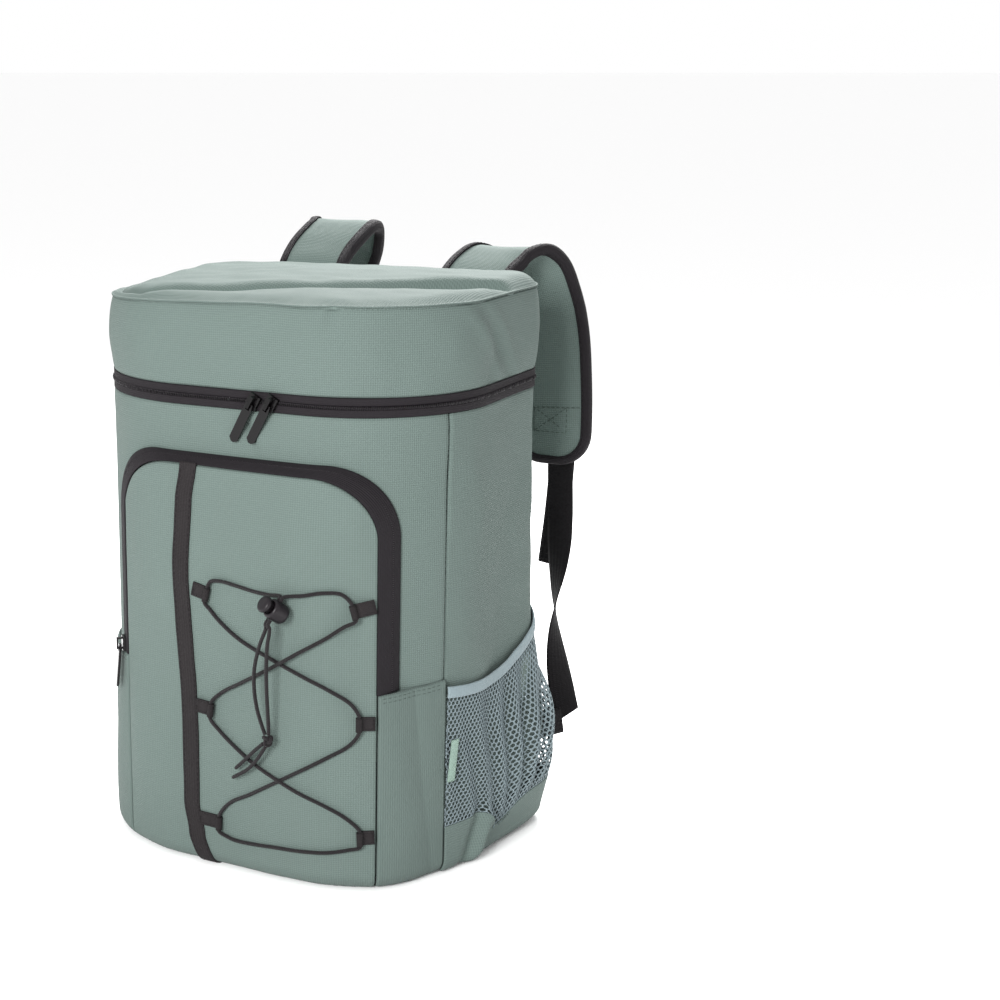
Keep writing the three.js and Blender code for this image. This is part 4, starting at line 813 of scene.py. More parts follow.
def arch_point(share, left, right, top, radius, foot):
    """A point of an arch that rises on the left, crosses the top and comes down on the right."""
    corner = radius * math.pi / 2
    rise = top - radius - foot
    lengths = (rise, corner, right - left - 2 * radius, corner, rise)
    stops = (0.0, 0.22, 0.36, 0.64, 0.78, 1.0)
    leg = 0
    while leg < 4 and share > stops[leg + 1]:
        leg += 1
    run = lengths[leg] * (share - stops[leg]) / (stops[leg + 1] - stops[leg])
    turn = run / radius
    if leg == 0:
        return left, foot + run
    if leg == 1:
        return left + radius * (1 - math.cos(turn)), top - radius * (1 - math.sin(turn))
    if leg == 2:
        return left + radius + run, top
    if leg == 3:
        return right - radius * (1 - math.sin(turn)), top - radius * (1 - math.cos(turn))
    return right, top - radius - run


def near_arch(share, inset=0.0):
    return arch_point(share, POCKET_LEFT + inset, POCKET_RIGHT - inset, POCKET_HEIGHT - inset,
                      POCKET_RADIUS - inset, ZIP_END)


def far_arch(share):
    return arch_point(share, POCKET_LEFT - ZIP_REACH_LEFT, POCKET_RIGHT + ZIP_REACH_RIGHT,
                      POCKET_HEIGHT + ZIP_RISE, POCKET_RADIUS + ZIP_RISE, ZIP_END)


def tape_frame(share):
    near_along, near_height = near_arch(share)
    far_along, far_height = far_arch(share)
    near = outline_point(near_along, pocket_out(near_along, near_height) + 0.6, near_height)
    far = outline_point(far_along, 2.5, far_height)
    crosswise = (far - near).normalized()
    outward = outward_at(mix(near_along, far_along, 0.5))
    outward = (outward - outward.dot(crosswise) * crosswise).normalized()
    return near, far, outward


STRIPE_ROWS = ((310, -34.6), (283, -38.2), (238, -39.5), (177, -38.3), (107, -36.0), (51, -35.2), (25, -31.3),
               (5, -25.5), (-10, -22.0))


def stripe_centre(height):
    for (high, a), (low, b) in zip(STRIPE_ROWS, STRIPE_ROWS[1:]):
        if height >= low:
            share = clamp((high - height) / (high - low), 0, 1)
            return mix(a, b, share * share * (3 - 2 * share))
    return STRIPE_ROWS[-1][1]


def face_surface(along, run, lift):
    """A point of the pocket's cloth, run millimetres above where the bottom curl starts, or below it."""
    if run >= 0:
        height = BOTTOM_RADIUS + run
        return face_point(along, height, lift + face_wrinkle(along, height))
    edge = pocket_out(along, BOTTOM_RADIUS) + face_wrinkle(along, BOTTOM_RADIUS)
    turn = clamp(-run / BOTTOM_RADIUS, 0, math.pi / 2)
    radius = BOTTOM_RADIUS + lift
    out = edge - BOTTOM_RADIUS + radius * math.cos(turn)
    return outline_point(along, out, max(BOTTOM_RADIUS - radius * math.sin(turn), 0.0))


def make_pocket():
    tops = (0.22, 0.78)

    def face(u, v):
        along, top_height = near_arch(mix(tops[0], tops[1], u), 0.4)
        full = top_height - BOTTOM_RADIUS
        total = full + CURL_RUN + 4
        run = total * v - CURL_RUN - 4
        from_top = full - run
        drop = edge_roll(from_top, 3.0)
        drop += edge_roll(along - POCKET_LEFT - 0.3, 2.4) + edge_roll(POCKET_RIGHT - 0.3 - along, 2.4)
        if run < -CURL_RUN:
            edge = pocket_out(along, BOTTOM_RADIUS) - BOTTOM_RADIUS
            return outline_point(along, mix(edge, -BOTTOM_RADIUS, (-CURL_RUN - run) / 4), 0)
        return face_surface(along, run, -drop)

    def face_uv(u, v):
        along, top_height = near_arch(mix(tops[0], tops[1], u), 0.4)
        return along, v * (top_height + CURL_RUN)

    cloth_face = surface("pocket_face_cloth", 170, 190, face, cloth_green, 1.6, face_uv)

    def tape_place(u, v):
        near, far, outward = tape_frame(u)
        ridge = 0.9 * math.sin(math.pi * v) ** 0.5 + 0.5 * hump(v, COIL_SHARE, 0.09)
        ridge -= 0.7 * hump(v, COIL_SHARE, 0.03)
        return near.lerp(far, v) + outward * (ridge - 0.5)

    tape_columns = 320
    lengths = route_length([tape_place(i / 60, 0.5) for i in range(61)])

    def tape_uv(u, v):
        return u * lengths, v * 17

    surface("pocket_zip_tape_weave", tape_columns, 18, tape_place, tape_zip, 1.3, tape_uv)
    teeth = []
    steps = 8
    turns = int(lengths / COIL_PITCH)
    for k in range(turns * steps + 1):
        share = clamp(k / (turns * steps), 0, 1)
        near, far, outward = tape_frame(share)
        crosswise = (far - near).normalized()
        turn = 2 * math.pi * k / steps
        teeth.append(near.lerp(far, COIL_SHARE) + crosswise * 0.8 * math.sin(turn)
                     + outward * (0.1 + 0.35 * math.cos(turn)))
    tube("pocket_zip_coil_teeth", teeth, 0.3, coil_black, sides=4)

    for name, inner, side in (("left", POCKET_LEFT, -1), ("right", POCKET_RIGHT, 1)):
        outer = side * (SIDE_SEAM - GAP / 2)
        start = inner + side * GAP
        foot = ZIP_END - GAP
        edge_depth = pocket_out(inner, foot)

        def gusset_out(along, height):
            share = clamp((along - start) / (outer - start), 0, 1)
            level = clamp(height / foot, 0, 1)
            swell = 3.0 * math.sin(math.pi * share) * math.sin(math.pi * level) ** 0.5
            soft = 0.8 * ripple(along, height * 0.6, 30, 21.0) * math.sin(math.pi * share)
            return mix(edge_depth, 2.4, min(1, share * mix(1.2, 2, level))) + swell + soft

        def gusset_top(along):
            share = clamp((along - start) / (outer - start), 0, 1)
            return foot + 2.5 * share * share

        gusset = wall("pocket_gusset_%s_cloth" % name, start, outer, gusset_top, gusset_out, cloth_green,
                      60, 90, 1.6, roll=(1.8, 1.2) if side > 0 else (1.2, 1.8), top_roll=1.5)
        rows = []
        for down in (2.6, 5.6):
            line = []
            for k in range(31):
                along = mix(start + side * 2, outer - side * 2, k / 30)
                height = gusset_top(along) - down
                line.append((outline_point(along, gusset_out(along, height), height), outward_at(along)))
            rows.append(line)
        stitches("gusset_%s_stitches" % name, rows, thread_green)

    def stripe_place(u, v):
        run = mix(-CURL_RUN - 1, POCKET_HEIGHT - BOTTOM_RADIUS + 1, v)
        height = BOTTOM_RADIUS + run
        along = stripe_centre(height) + STRIPE_WIDTH * (u - 0.5)
        bow = 0.25 * math.sin(math.pi * u)
        return face_surface(along, run, 1.3 + bow)

    def stripe_uv(u, v):
        return v * 330, u * STRIPE_WIDTH

    surface("accent_stripe_weave", 12, 200, stripe_place, tape_dark, 1.2, stripe_uv)
    rows = []
    for edge in (0.09, 0.91):
        line = []
        for k in range(161):
            v = k / 160
            run = mix(-CURL_RUN - 1, POCKET_HEIGHT - BOTTOM_RADIUS - 1.5, v)
            along = stripe_centre(BOTTOM_RADIUS + run) + STRIPE_WIDTH * (edge - 0.5)
            line.append((face_surface(along, run, 1.45), outward_at(along)))
        rows.append(line)
    stitches("accent_stripe_stitches", rows, thread_dark)


# Tabs and lacing
# Side, inset and reach in tab widths, height as a share of the pocket's, and slope
TABS = {
    "left_1": (-1, 0.21, 1.267, 0.702, -0.22),
    "left_2": (-1, 0.133, 1.39, 0.4123, -0.1),
    "left_3": (-1, 0.286, 1.762, 0.1252, -0.04),
    "right_1": (1, 0.057, 1.524, 0.7016, -0.25),
    "right_2": (1, 0.057, 1.143, 0.4252, 0),
    "right_3": (1, 0.057, 1.048, 0.1432, -0.04),
}
# Shares of the way to the pocket's right edge and of its height, lift in cord diameters; or a tab to pass
LACING = (
    (0.3439, 0.7213, 1.4286), (0.223, 0.7226, 0.8571), (0.0743, 0.7303, 0.8571), (-0.0372, 0.7348, 0.8571),
    (-0.1115, 0.7303, 1),
    ("left_1", 1),
    (-0.1255, 0.6619, 0.9286), (-0.0502, 0.6355, 0.8571), (0.1022, 0.5984, 0.8571),
    (0.4089, 0.5542, 0.8571), (0.5762, 0.5297, 1), (0.7249, 0.5032, 1), (0.8457, 0.4729, 0.9286),
    ("right_2", 1),
    (0.8364, 0.3729, 0.9286), (0.697, 0.3374, 1), (0.5576, 0.3026, 1), (0.4043, 0.2665, 0.8571),
    (0.1636, 0.2148, 0.8571), (0, 0.1819, 0.8571),
    ("left_3", 1),
    (-0.0372, 0.0923, 0.8571), (0.0465, 0.0865, 0.8571), (0.3903, 0.0923, 0.8571), (0.5576, 0.0968, 1),
    (0.7063, 0.1019, 1), (0.8364, 0.1129, 1),
    ("right_3", -1),
    (0.8178, 0.1923, 0.9286), (0.697, 0.2194, 1.0714), (0.5437, 0.2465, 1.7143), (0.4043, 0.2697, 1.9643),
    (0.2323, 0.2955, 1.7143), (0.0883, 0.3213, 1.0714), (-0.0558, 0.3568, 0.9286),
    ("left_2", -1),
    (-0.0558, 0.4574, 0.9286), (0.0901, 0.4884, 1.0714), (0.2695, 0.5258, 1.6429), (0.4089, 0.5561, 1.9643),
    (0.5483, 0.5916, 1.6429), (0.697, 0.629, 1.0714), (0.8039, 0.6597, 1),
    ("right_1", -1),
    (0.79, 0.7368, 1), (0.6784, 0.7374, 0.8571), (0.5762, 0.729, 1.2143),
)
# Offsets from the lock's middle, in millimetres
CORD_END_LEFT = (
    (-4.9, -6.9, -11.4), (-10, -6.7, -24.4), (-15.3, -5.1, -42.4), (-16.9, -3.1, -59.4),
    (-15.7, -1.1, -75.4), (-12.9, 0.5, -87.4), (-11.08, 1.81, -94.5),
)
CORD_END_RIGHT = (
    (-1.7, -7.3, -11.4), (-3.9, -6.7, -24.4), (-5.9, -4.9, -42.4), (-6.9, -2.7, -59.4), (-7.4, -0.5, -75.4),
    (-7.6, 0.9, -87.4), (-8.12, 1.94, -94.3),
)
KNOT = (-9.3, 2.7, -99.2)
TAIL_UPPER = (
    (-13.31, 3.05, -102.34), (-20.5, 3.9, -108.9), (-29.5, 5.3, -118), (-38.7, 6.5, -127),
)
TAIL_LOWER = (
    (-11.11, 2.7, -103.97), (-17, 3.1, -113.4), (-27, 4.7, -124.8), (-41.4, 6.7, -134.8),
)
LOCK_ALONG = (Vector((0, 0, 1)) - LOCK_AXIS.z * LOCK_AXIS).normalized()
LOCK_ACROSS = LOCK_AXIS.cross(LOCK_ALONG)
LOCK_POINT = face_point(LOCK_SIDEWAYS, LOCK_HEIGHT * POCKET_HEIGHT, LOCK_LIFT)


def tab_frame(name):
    side, inset, reach, height, slope = TABS[name]
    edge = STRIPE_CENTRE + STRIPE_WIDTH / 2 if side < 0 else POCKET_RIGHT
    middle = edge - side * TAB_WIDTH * (inset + reach / 2)
    outward = outward_at(middle)
    sideways = Vector((-outward.y, outward.x, 0)) * -side
    tongue = (sideways + Vector((0, 0, slope))).normalized()
    wide = -outward.cross(tongue)
    return face_point(middle, height * POCKET_HEIGHT, 2 * GAP), tongue, outward, wide, TAB_WIDTH * reach / 2


def loop_points(name, start):
    origin, tongue, outward, wide, half = tab_frame(name)
    centre = origin + tongue * half + outward * LOOP_RISE
    upward = 1 if wide.z > 0 else -1
    reach = TAB_WIDTH / 2 + 1
    return [centre + wide * place * upward * reach for place in (start, 0, -start)]


def make_tabs():
    lines = []
    for name in TABS:
        origin, tongue, outward, wide, half = tab_frame(name)
        path = [(-half, 0.35), (half * 0.3, 0.35), (half - 0.4, 0.5)]
        radius = LOOP_RADIUS + 0.45
        for degrees in range(-80, 181, 20):
            turn = math.radians(degrees)
            path.append((half + radius * math.cos(turn), LOOP_RISE + radius * math.sin(turn)))
        path += [(half - radius - 0.2, LOOP_RISE * 0.62), (half - radius - 1.6, 1.75), (-half, 1.5)]
        path = smooth_route([Vector((x, y, 0)) for x, y in path], 3)

        def place(u, v):
            at = path[min(int(round(v * (len(path) - 1))), len(path) - 1)]
            return origin + tongue * at.x + outward * at.y + wide * TAB_WIDTH * (0.5 - u)

        surface("cord_tab_%s_weave" % name, 8, len(path) - 1, place, tape_dark, 0.75, None)
        top = 1.75
        low, high = -half + 1.2, max(half - LOOP_RISE - 1.0, -half + 3.4)
        edge = TAB_WIDTH / 2 - 1.4
        corners = [(low, -edge), (high, -edge), (high, edge), (low, edge), (low, -edge)]
        line = []
        for (x0, y0), (x1, y1) in zip(corners, corners[1:]):
            for k in range(4):
                x, y = mix(x0, x1, k / 4), mix(y0, y1, k / 4)
                line.append((origin + tongue * x + outward * top + wide * y, outward))
        lines.append(line)
    stitches("cord_tab_stitches", lines, thread_dark, length=1.6, space=0.7, radius=0.22)


def lock_cord(side, run):
    return LOCK_POINT + LOCK_AXIS * 2 + LOCK_ALONG * run + LOCK_ACROSS * side * (CORD / 2 + 0.15)


def from_lock(rows):
    return [LOCK_POINT + Vector(row) for row in rows]


def make_cords():
    mouth = LOCK_RADIUS
    through = (-mouth, 0, mouth, mouth + 3)
    points = [lock_cord(1, run) for run in through]
    for row in LACING:
        if isinstance(row[0], str):
            points += loop_points(*row)
        else:
            points.append(face_point(row[0] * POCKET_RIGHT, row[1] * POCKET_HEIGHT, row[2] * CORD))
    points += [lock_cord(-1, run) for run in reversed(through)]
    tube("bungee_cord_braid", smooth_route(points, 8), CORD / 2, cord_black, 10)
    knot = make_knot()
    for name, side, rows in (("left", 1, CORD_END_LEFT), ("right", -1, CORD_END_RIGHT)):
        start = [lock_cord(side, -mouth - GAP), lock_cord(side, -mouth - 4)]
        route = smooth_route(start + from_lock(rows), 8)
        piece = tube("cord_end_%s_braid" % name, route, CORD / 2, cord_black, 12)
        route_length(route) * MM
    for name, rows in (("upper", TAIL_UPPER), ("lower", TAIL_LOWER)):
        route = smooth_route(from_lock(rows), 10)
        piece = tube("cord_tail_%s_braid" % name, route, CORD / 2, cord_black, 12,
                     taper=lambda t: 1.0 if t < 0.97 else 0.82)
        route_length(route) * MM


def make_knot():
    steps = 90
    size = 1.25
    route = []
    for k in range(steps + 1):
        t = 2 * math.pi * k / steps
        x = math.sin(t) + 2 * math.sin(2 * t)
        y = math.cos(t) - 2 * math.cos(2 * t)
        route.append(LOCK_POINT + Vector(KNOT) + Vector((x * size, -math.sin(3 * t) * 1.5, y * size)))
    return tube("cord_knot_braid", route, CORD / 2, cord_black, 10)


def lathe(name, profile, **extra):
    """Turns (radius, height) pairs about the lock's axis."""
    sides = 40
    axis = LOCK_AXIS.normalized()
    first = axis.orthogonal().normalized()
    second = axis.cross(first)
    sections = []
    for radius, height in profile:
        section = []
        for k in range(sides):
            turn = 2 * math.pi * k / sides
            section.append(LOCK_POINT + axis * height + first * radius * math.cos(turn)
                           + second * radius * math.sin(turn))
        sections.append(section)
    around = [2 * math.pi * LOCK_RADIUS * k / sides for k in range(sides)]
    return sweep(name, sections, satin_dark, around, **extra)


def make_lock():
    half = LOCK_HALF
    barrel = [(0.5, -half), (5.4, -half), (6.6, -half + 0.4), (7.3, -half + 1.4), (7.5, -half + 3),
              (7.5, 3.5), (7.35, 5.2), (6.9, 6.3), (6.2, 6.85), (5.4, 7.0), (5.1, 6.6), (5.0, 4.0),
              (0.5, 4.0)]
    lathe("cord_lock_barrel_moulded", barrel)
    low = half + 3 + GAP
    button = [(0.5, -2.0), (4.4, -2.0), (4.5, low - 0.4), (5.2, low), (5.9, low + 0.2), (6.3, low + 0.9),
              (6.35, low + 1.9), (6.1, low + 2.9), (5.4, low + 3.6), (4.2, low + 3.9), (2.0, low + 4.0),
              (0.4, low + 4.0)]
    lathe("cord_lock_button_moulded", button, body="cord_lock_button")


def dress_cad(name, material, width):
    """Keeps a CAD piece, rounds its edges and gives it its material."""
    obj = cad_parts[name]
    obj.data.materials.clear()
    obj.data.materials.append(material)
    bevel = obj.modifiers.new("rounded", "BEVEL")
    bevel.width = width * MM
    bevel.segments = 3
    bevel.limit_method = "ANGLE"
    bevel.angle_limit = math.radians(35)
    for polygon in obj.data.polygons:
        polygon.use_smooth = True


def make_hardware():
    for name in ("main_slider_left", "main_slider_right", "pocket_slider"):
        dress_cad(name, gloss_black, 0.45)
    for name in ("main_puller_left", "main_puller_right", "pocket_puller"):
        dress_cad(name, gloss_black, 0.5)
    for name in ("ladder_lock_left", "ladder_lock_right"):
        dress_cad(name, satin_dark, 0.7)


# Net pockets
def net_top(share):
    sag = NET_SAG * math.sin(math.pi * clamp(share / 0.6, 0, 1))
    return mix(NET_FRONT, NET_BACK, clamp((share - 0.45) / 0.55, 0, 1) ** 2) - sag


def net_out(share, height):
    across = max(math.sin(math.pi * clamp(share, 0, 1) ** NET_SKEW), 0) ** 0.8
    above = height / net_top(share) - NET_BELLY
    reach = NET_ABOVE if above > 0 else NET_BELOW
    belly = mix(NET_SLACK, 1, math.exp(-((above / reach) ** 2)))
    return GAP + NET_THICKNESS + NET_CLEARANCE + NET_BULGE * across * belly


def net_gather(share, height):
    """Ripples of the loose net that draw together towards the pleat in the band below it."""
    level = clamp((height - NET_BAND) / (NET_FRONT - NET_BAND), 0, 1)
    spread = (share - 0.36) / mix(0.5, 1.0, level)
    fold = math.sin(2 * math.pi * (5.0 * spread + 0.3 * ripple(share * 40, height * 0.3, 20, 31.0)))
    strength = mix(0.5, 1.0, math.sin(math.pi * level)) * (1 - 0.8 * level ** 3)
    deep = mix(1.6, 3.6, clamp((share - 0.35) / 0.35, 0, 1))
    return deep * fold * math.sin(math.pi * clamp(share, 0, 1)) ** 0.5 * strength


def net_foot(share):
    """Where the net meets the cloth band: the band dips in a V where it is pleated."""
    beside = share - 0.35
    return NET_BAND - 17 * math.exp(-((beside / (0.05 if beside < 0 else 0.2)) ** 2))


def band_lift(share, v):
    """Soft waves of the cloth band and the pleat that slants down through it."""
    pleat = 6.0 * hump(share, 0.2 + 0.1 * v, 0.035) - 4.5 * hump(share, 0.13 + 0.1 * v, 0.035)
    soft = 0.7 * ripple(share * 160, v * 20, 34, 35.0)
    return (pleat + soft) * math.sin(math.pi * clamp(share, 0, 1)) ** 0.4


def make_net(name, side):
    start, end = SIDE_SEAM + GAP, BACK_SEAM - GAP
    width = end - start

    def place(share, height, lift):
        return outline_point(side * mix(start, end, share), net_out(share, height) + lift, height)

    columns = int(width / NET_CELL)
    rows = int((NET_FRONT + 14 - NET_BAND) / (NET_CELL * HEX_ROW))
    points, uvs, faces = [], [], []
    for j in range(rows + 1):
        for i in range(columns + 1):
            middle_share = (i + (0.5 if j % 2 else 0.0)) / (columns + 0.5)
            level = j / rows

            def at(share, up):
                share = clamp(share, 0.004, 0.996)
                low = net_foot(share) - 1.0
                high = net_top(share) - NET_BINDING + 1.5
                height = clamp(mix(low, high, up), low, high)
                near = math.exp(-(((height - low) / 9) ** 2))
                lift = mix(net_gather(share, height), band_lift(share, 1), near)
                return place(share, height, lift - 0.6), height

            base = len(points)
            for size in (0.5, mix(0.41, 0.36, middle_share)):
                for k in range(6):
                    turn = math.pi / 6 + math.pi * k / 3
                    share = middle_share + size * HEX_CORNER * math.cos(turn) * NET_CELL / width
                    up = level + size * HEX_CORNER * math.sin(turn) / rows / HEX_ROW
                    point, height = at(share, up)
                    points.append(point)
                    uvs.append((share * width, height))
            for k in range(6):
                there = (k + 1) % 6
                quad = (base + k, base + there, base + 6 + there, base + 6 + k)
                faces.append(quad if side > 0 else tuple(reversed(quad)))
    net = make_mesh("net_%s_mesh" % name, points, faces, uvs, net_yarn)
    weld = net.modifiers.new("joined", "WELD")
    weld.merge_threshold = 0.08 * MM
    thicken(net, NET_YARN)

    def binding_place(u, v):
        share = u if side > 0 else 1 - u
        height = net_top(share) - NET_BINDING * (1 - v)
        wave = 0.6 * ripple(share * 160, 0, 30, 33.0)
        return place(share, height, 0.3 + 0.7 * math.sin(math.pi * v) ** 0.5 + wave * 0.5)

    def binding_uv(u, v):
        return u * width, v * NET_BINDING

    surface("net_binding_%s_elastic" % name, 120, 10, binding_place, binding_net, 1.2, binding_uv)

    def band_place(u, v):
        share = u if side > 0 else 1 - u
        straight = net_foot(share) - BOTTOM_RADIUS
        run = (1 - v) * (straight + BOTTOM_RADIUS * 0.75)
        lift = band_lift(share, v)
        along = side * mix(start, end, share)
        if run <= straight:
            return place(share, net_foot(share) - run, lift)
        turn = (run - straight) / BOTTOM_RADIUS
        radius = BOTTOM_RADIUS + net_out(share, BOTTOM_RADIUS) + lift
        fall = (BOTTOM_RADIUS + 3.2) * math.sin(turn)
        return outline_point(along, radius * math.cos(turn) - BOTTOM_RADIUS, BOTTOM_RADIUS - fall)

    cloth_band = surface("net_band_%s_cloth" % name, 110, 36, band_place, cloth_green, 1.1, None)


def make_label():
    start = SIDE_SEAM + GAP

    def place(u, v):
        along = start + 7 * u + 3.5 * v
        share = (along - start) / (BACK_SEAM - start)
        height = mix(75, 107, v)
        return outline_point(along, net_out(share, height) + 1.4 + 0.5 * math.sin(math.pi * u), height)

    surface("seam_label_cloth", 8, 16, place, label_cloth, 0.8, None)


# Straps
STRAP_ROWS = (
    (0.061, 0.6, 0.0, 0.0, 0.9), (0.064, 0.74, 0.0, 0.0, 0.9), (0.15, 0.84, 0.0, 0.0, 0.9),
    (0.32, 0.91, 0.05, 0.0, 0.92), (0.5, 0.965, 0.12, -0.04, 0.93), (0.68, 1.0, 0.25, -0.06, 0.95),
    (0.84, 0.985, 0.42, 0.0, 0.97), (0.95, 0.92, 0.58, 0.08, 1.0), (1.0, 0.8, 0.72, 0.24, 1.0),
    (1.02, 0.62, 0.86, 0.5, 1.0), (1.0, 0.4, 0.95, 0.78, 1.0), (0.97, 0.2, 1.0, 0.95, 1.0),
    (0.94, 0.0, 1.0, 1.0, 1.0),
)
# Side, start as a share of half the width, crest above the rim as a share of the reach, and the rows' column
STRAPS = {"right": (1, 0.5, 0.199, 2), "left": (-1, 0.4067, 0.3767, 3)}
# Across, behind, height, thickness kept off and turn, as in the frame's source
WEBBING_ROWS = (
    (0.259, 0.9567, 1.0933, 1, 0),
    (0.259, 0.9467, 1.0299, 1, 0),
    (0.278, 0.9478, 0.9328, 1, 0),
    (0.315, 0.93, 0.8433, 1, 0.05),
    (0.389, 0.87, 0.7649, 1, -0.1),
    (0.489, 0.77, 0.6791, 1, -0.55),
    (0.593, 0.676, 0.5858, 0.8, -1.08),
    (0.756, 0.5931, 0.5, 0.6, -1.6),
    (0.981, 0.5102, 0.4104, 0.4, -2.1),
    (1.241, 0.4384, 0.3284, 0.2, -2.45),
    (1.481, 0.3878, 0.2612, 0, -2.6),
)
TAIL_ROWS = (
    (0.222, 0.9589, 1.1045, 1, 0),
    (0.207, 0.9589, 1.0299, 1, 0),
    (0.17, 0.9544, 0.9328, 1, 0),
    (0.096, 0.9456, 0.8284, 1, -0.05),
    (0.022, 0.9344, 0.7463, 1, -0.08),
    (-0.052, 0.9256, 0.6716, 1, -0.1),
)
ANCHOR_ROWS = (
    (-0.556, 0.0011, 0.2146, 0, 0),
    (-0.037, 0.0033, 0.2201, 0, 0),
    (0.481, 0.07, 0.2295, 0, 0),
    (0.963, 0.2011, 0.2425, 0, 0),
    (1.415, 0.3422, 0.253, 0, 0),
)


class Strap:
    """The middle surface of a shoulder strap, by distance from its end, place across and height off it."""

    def __init__(self, name):
        side, begin, rise, column = STRAPS[name]
        centre, crest = begin * WIDTH / 2, RIM + STRAP_REACH * rise
        points = []
        for row in STRAP_ROWS:
            points.append(Vector((side * mix(centre, STRAP_END_CENTRE, row[column]),
                                  DEPTH / 2 + STRAP_REACH * row[0], mix(STRAP_END_HEIGHT, crest, row[1]))))
        self.route = smooth_route(points, 24)
        self.directions = tangents(self.route)
        self.marks = [0.0]
        for a, b in zip(self.route, self.route[1:]):
            self.marks.append(self.marks[-1] + (b - a).length)
        self.length = self.marks[-1]

    def half(self, from_end):
        place = clamp(1 - from_end / self.length, 0, 1) * (len(STRAP_ROWS) - 1)
        row = min(int(place), len(STRAP_ROWS) - 2)
        return STRAP_WIDTH * mix(STRAP_ROWS[row][4], STRAP_ROWS[row + 1][4], place - row) / 2

    def frame(self, from_end):
        run = clamp(self.length - from_end, 0, self.length)
        low, high = 0, len(self.marks) - 1
        while high - low > 1:
            middle = (low + high) // 2
            if self.marks[middle] > run:
                high = middle
            else:
                low = middle
        share = (run - self.marks[low]) / (self.marks[high] - self.marks[low])
        tangent = self.directions[low].lerp(self.directions[high], share).normalized()
        wide = (Vector((1, 0, 0)) - tangent.x * tangent).normalized()
        return self.route[low].lerp(self.route[high], share), wide, wide.cross(tangent)

    def point(self, from_end, across, height):
        centre, wide, normal = self.frame(from_end)
        return centre + wide * across + normal * height

    def edge(self, steps, turns):
        """Down the +X edge, round the end and up the other edge: place and inward direction."""
        rows = []
        for k in range(steps):
            from_end = mix(self.length, STRAP_END_RADIUS, k / steps)
            rows.append((from_end, self.half(from_end), 0.0, -1.0))
        for k in range(turns + 1):
            turn = math.pi / 2 * (1 - k / turns)
            from_end = STRAP_END_RADIUS * (1 - math.cos(turn))
            across = self.half(from_end) - STRAP_END_RADIUS * (1 - math.sin(turn))
            rows.append((from_end, across, math.cos(turn), -math.sin(turn)))
        mirrored = [(f, -a, i, -o) for f, a, i, o in reversed(rows)]
        return rows + mirrored[1:] if abs(rows[-1][1]) < 0.01 else rows + mirrored


def make_strap(name):
    strap = Strap(name)
    steps, turns = 120, 16
    inset = STRAP_BINDING * 0.55
    radius = STRAP_END_RADIUS - inset
    lines = []
    for k in range(turns):
        turn = math.pi / 2 * k / turns
        from_end = inset + radius * (1 - math.cos(turn))
        lines.append((from_end, strap.half(from_end) - STRAP_END_RADIUS + radius * math.sin(turn)))
    for k in range(steps + 1):
        from_end = mix(STRAP_END_RADIUS, strap.length, k / steps)
        lines.append((from_end, strap.half(from_end) - inset))
    across_steps = 18
    points, uvs = [], []
    for from_end, reach in lines:
        for j in range(2 * across_steps):
            top = j < across_steps
            place = (j % across_steps) / (across_steps - 1)
            spread = mix(-1, 1, place) if top else mix(1, -1, place)
            crown = (1 - abs(spread) ** 3.2) ** 0.6
            lump = 0.35 * ripple(from_end, spread * 30, 28, 41.0 if top else 42.0) * crown
            height = (STRAP_THICKNESS / 2 * (0.55 + 0.45 * crown) + lump) * (1 if top else -1)
            points.append(strap.point(from_end, reach * spread, height))
            uvs.append((from_end, spread * reach))
    count = 2 * across_steps
    faces = []
    for i in range(len(lines) - 1):
        for k in range(count):
            there = (k + 1) % count
            faces.append((i * count + k, (i + 1) * count + k, (i + 1) * count + there, i * count + there))
    faces.append(tuple(range(count)))
    last = (len(lines) - 1) * count
    faces.append(tuple(last + k for k in reversed(range(count))))
    pad = make_mesh("strap_pad_%s_cloth" % name, points, faces, uvs, cloth_green)

    sections = []
    stitch_rows = {1: [], -1: []}
    thick = STRAP_THICKNESS / 2 + 0.4
    for from_end, across, into, inward in strap.edge(steps, turns):
        def at(deep, height):
            return strap.point(from_end + into * deep, across + inward * deep, height)

        section = []
        for deep, height in ((STRAP_BINDING, thick - 0.3), (STRAP_BINDING - 0.2, thick + 0.35),
                             (STRAP_BINDING * 0.5, thick + 0.2), (1.4, thick * 0.86), (0.3, thick * 0.5),
                             (0.0, 0.0)):
            section.append((deep, height))
        full = section + [(deep, -height) for deep, height in reversed(section[:-1])]
        full += [(STRAP_BINDING - 0.2, -thick * 0.6), (STRAP_BINDING - 0.2, thick * 0.6)]
        sections.append([at(deep, height) for deep, height in full])
        for face in (1, -1):
            normal = strap.frame(from_end)[2]
            stitch_rows[face].append((at(STRAP_BINDING - 1.5, face * (thick + 0.33)), normal * face))
    around = [0, 0.8, 4, 7.5, 9, 11, 13, 14.5, 18, 21.5, 22.3, 24, 28]
    sweep("strap_binding_%s_tape" % name, sections, binding_dark, around[:len(sections[0])])
    stitches("strap_binding_%s_stitches" % name, list(stitch_rows.values()), thread_dark)

    # The sewn box above the strap's end shows on the inner face
    box = []
    corners = ((47, -26), (47, 26), (47, -14), (27, -14), (27, 14), (47, 14), (27, -14), (47, -14), (27, 14))
    for face in (1, -1):
        line = []
        for (f0, a0), (f1, a1) in zip(corners, corners[1:]):
            for k in range(8):
                from_end, across = mix(f0, f1, k / 8), mix(a0, a1, k / 8)
                normal = strap.frame(from_end)[2]
                height = face * (STRAP_THICKNESS / 2 + 0.1)
                line.append((strap.point(from_end, across, height), normal * face))
        box.append(line)
    stitches("strap_box_%s_stitches" % name, box, thread_green, radius=0.4)


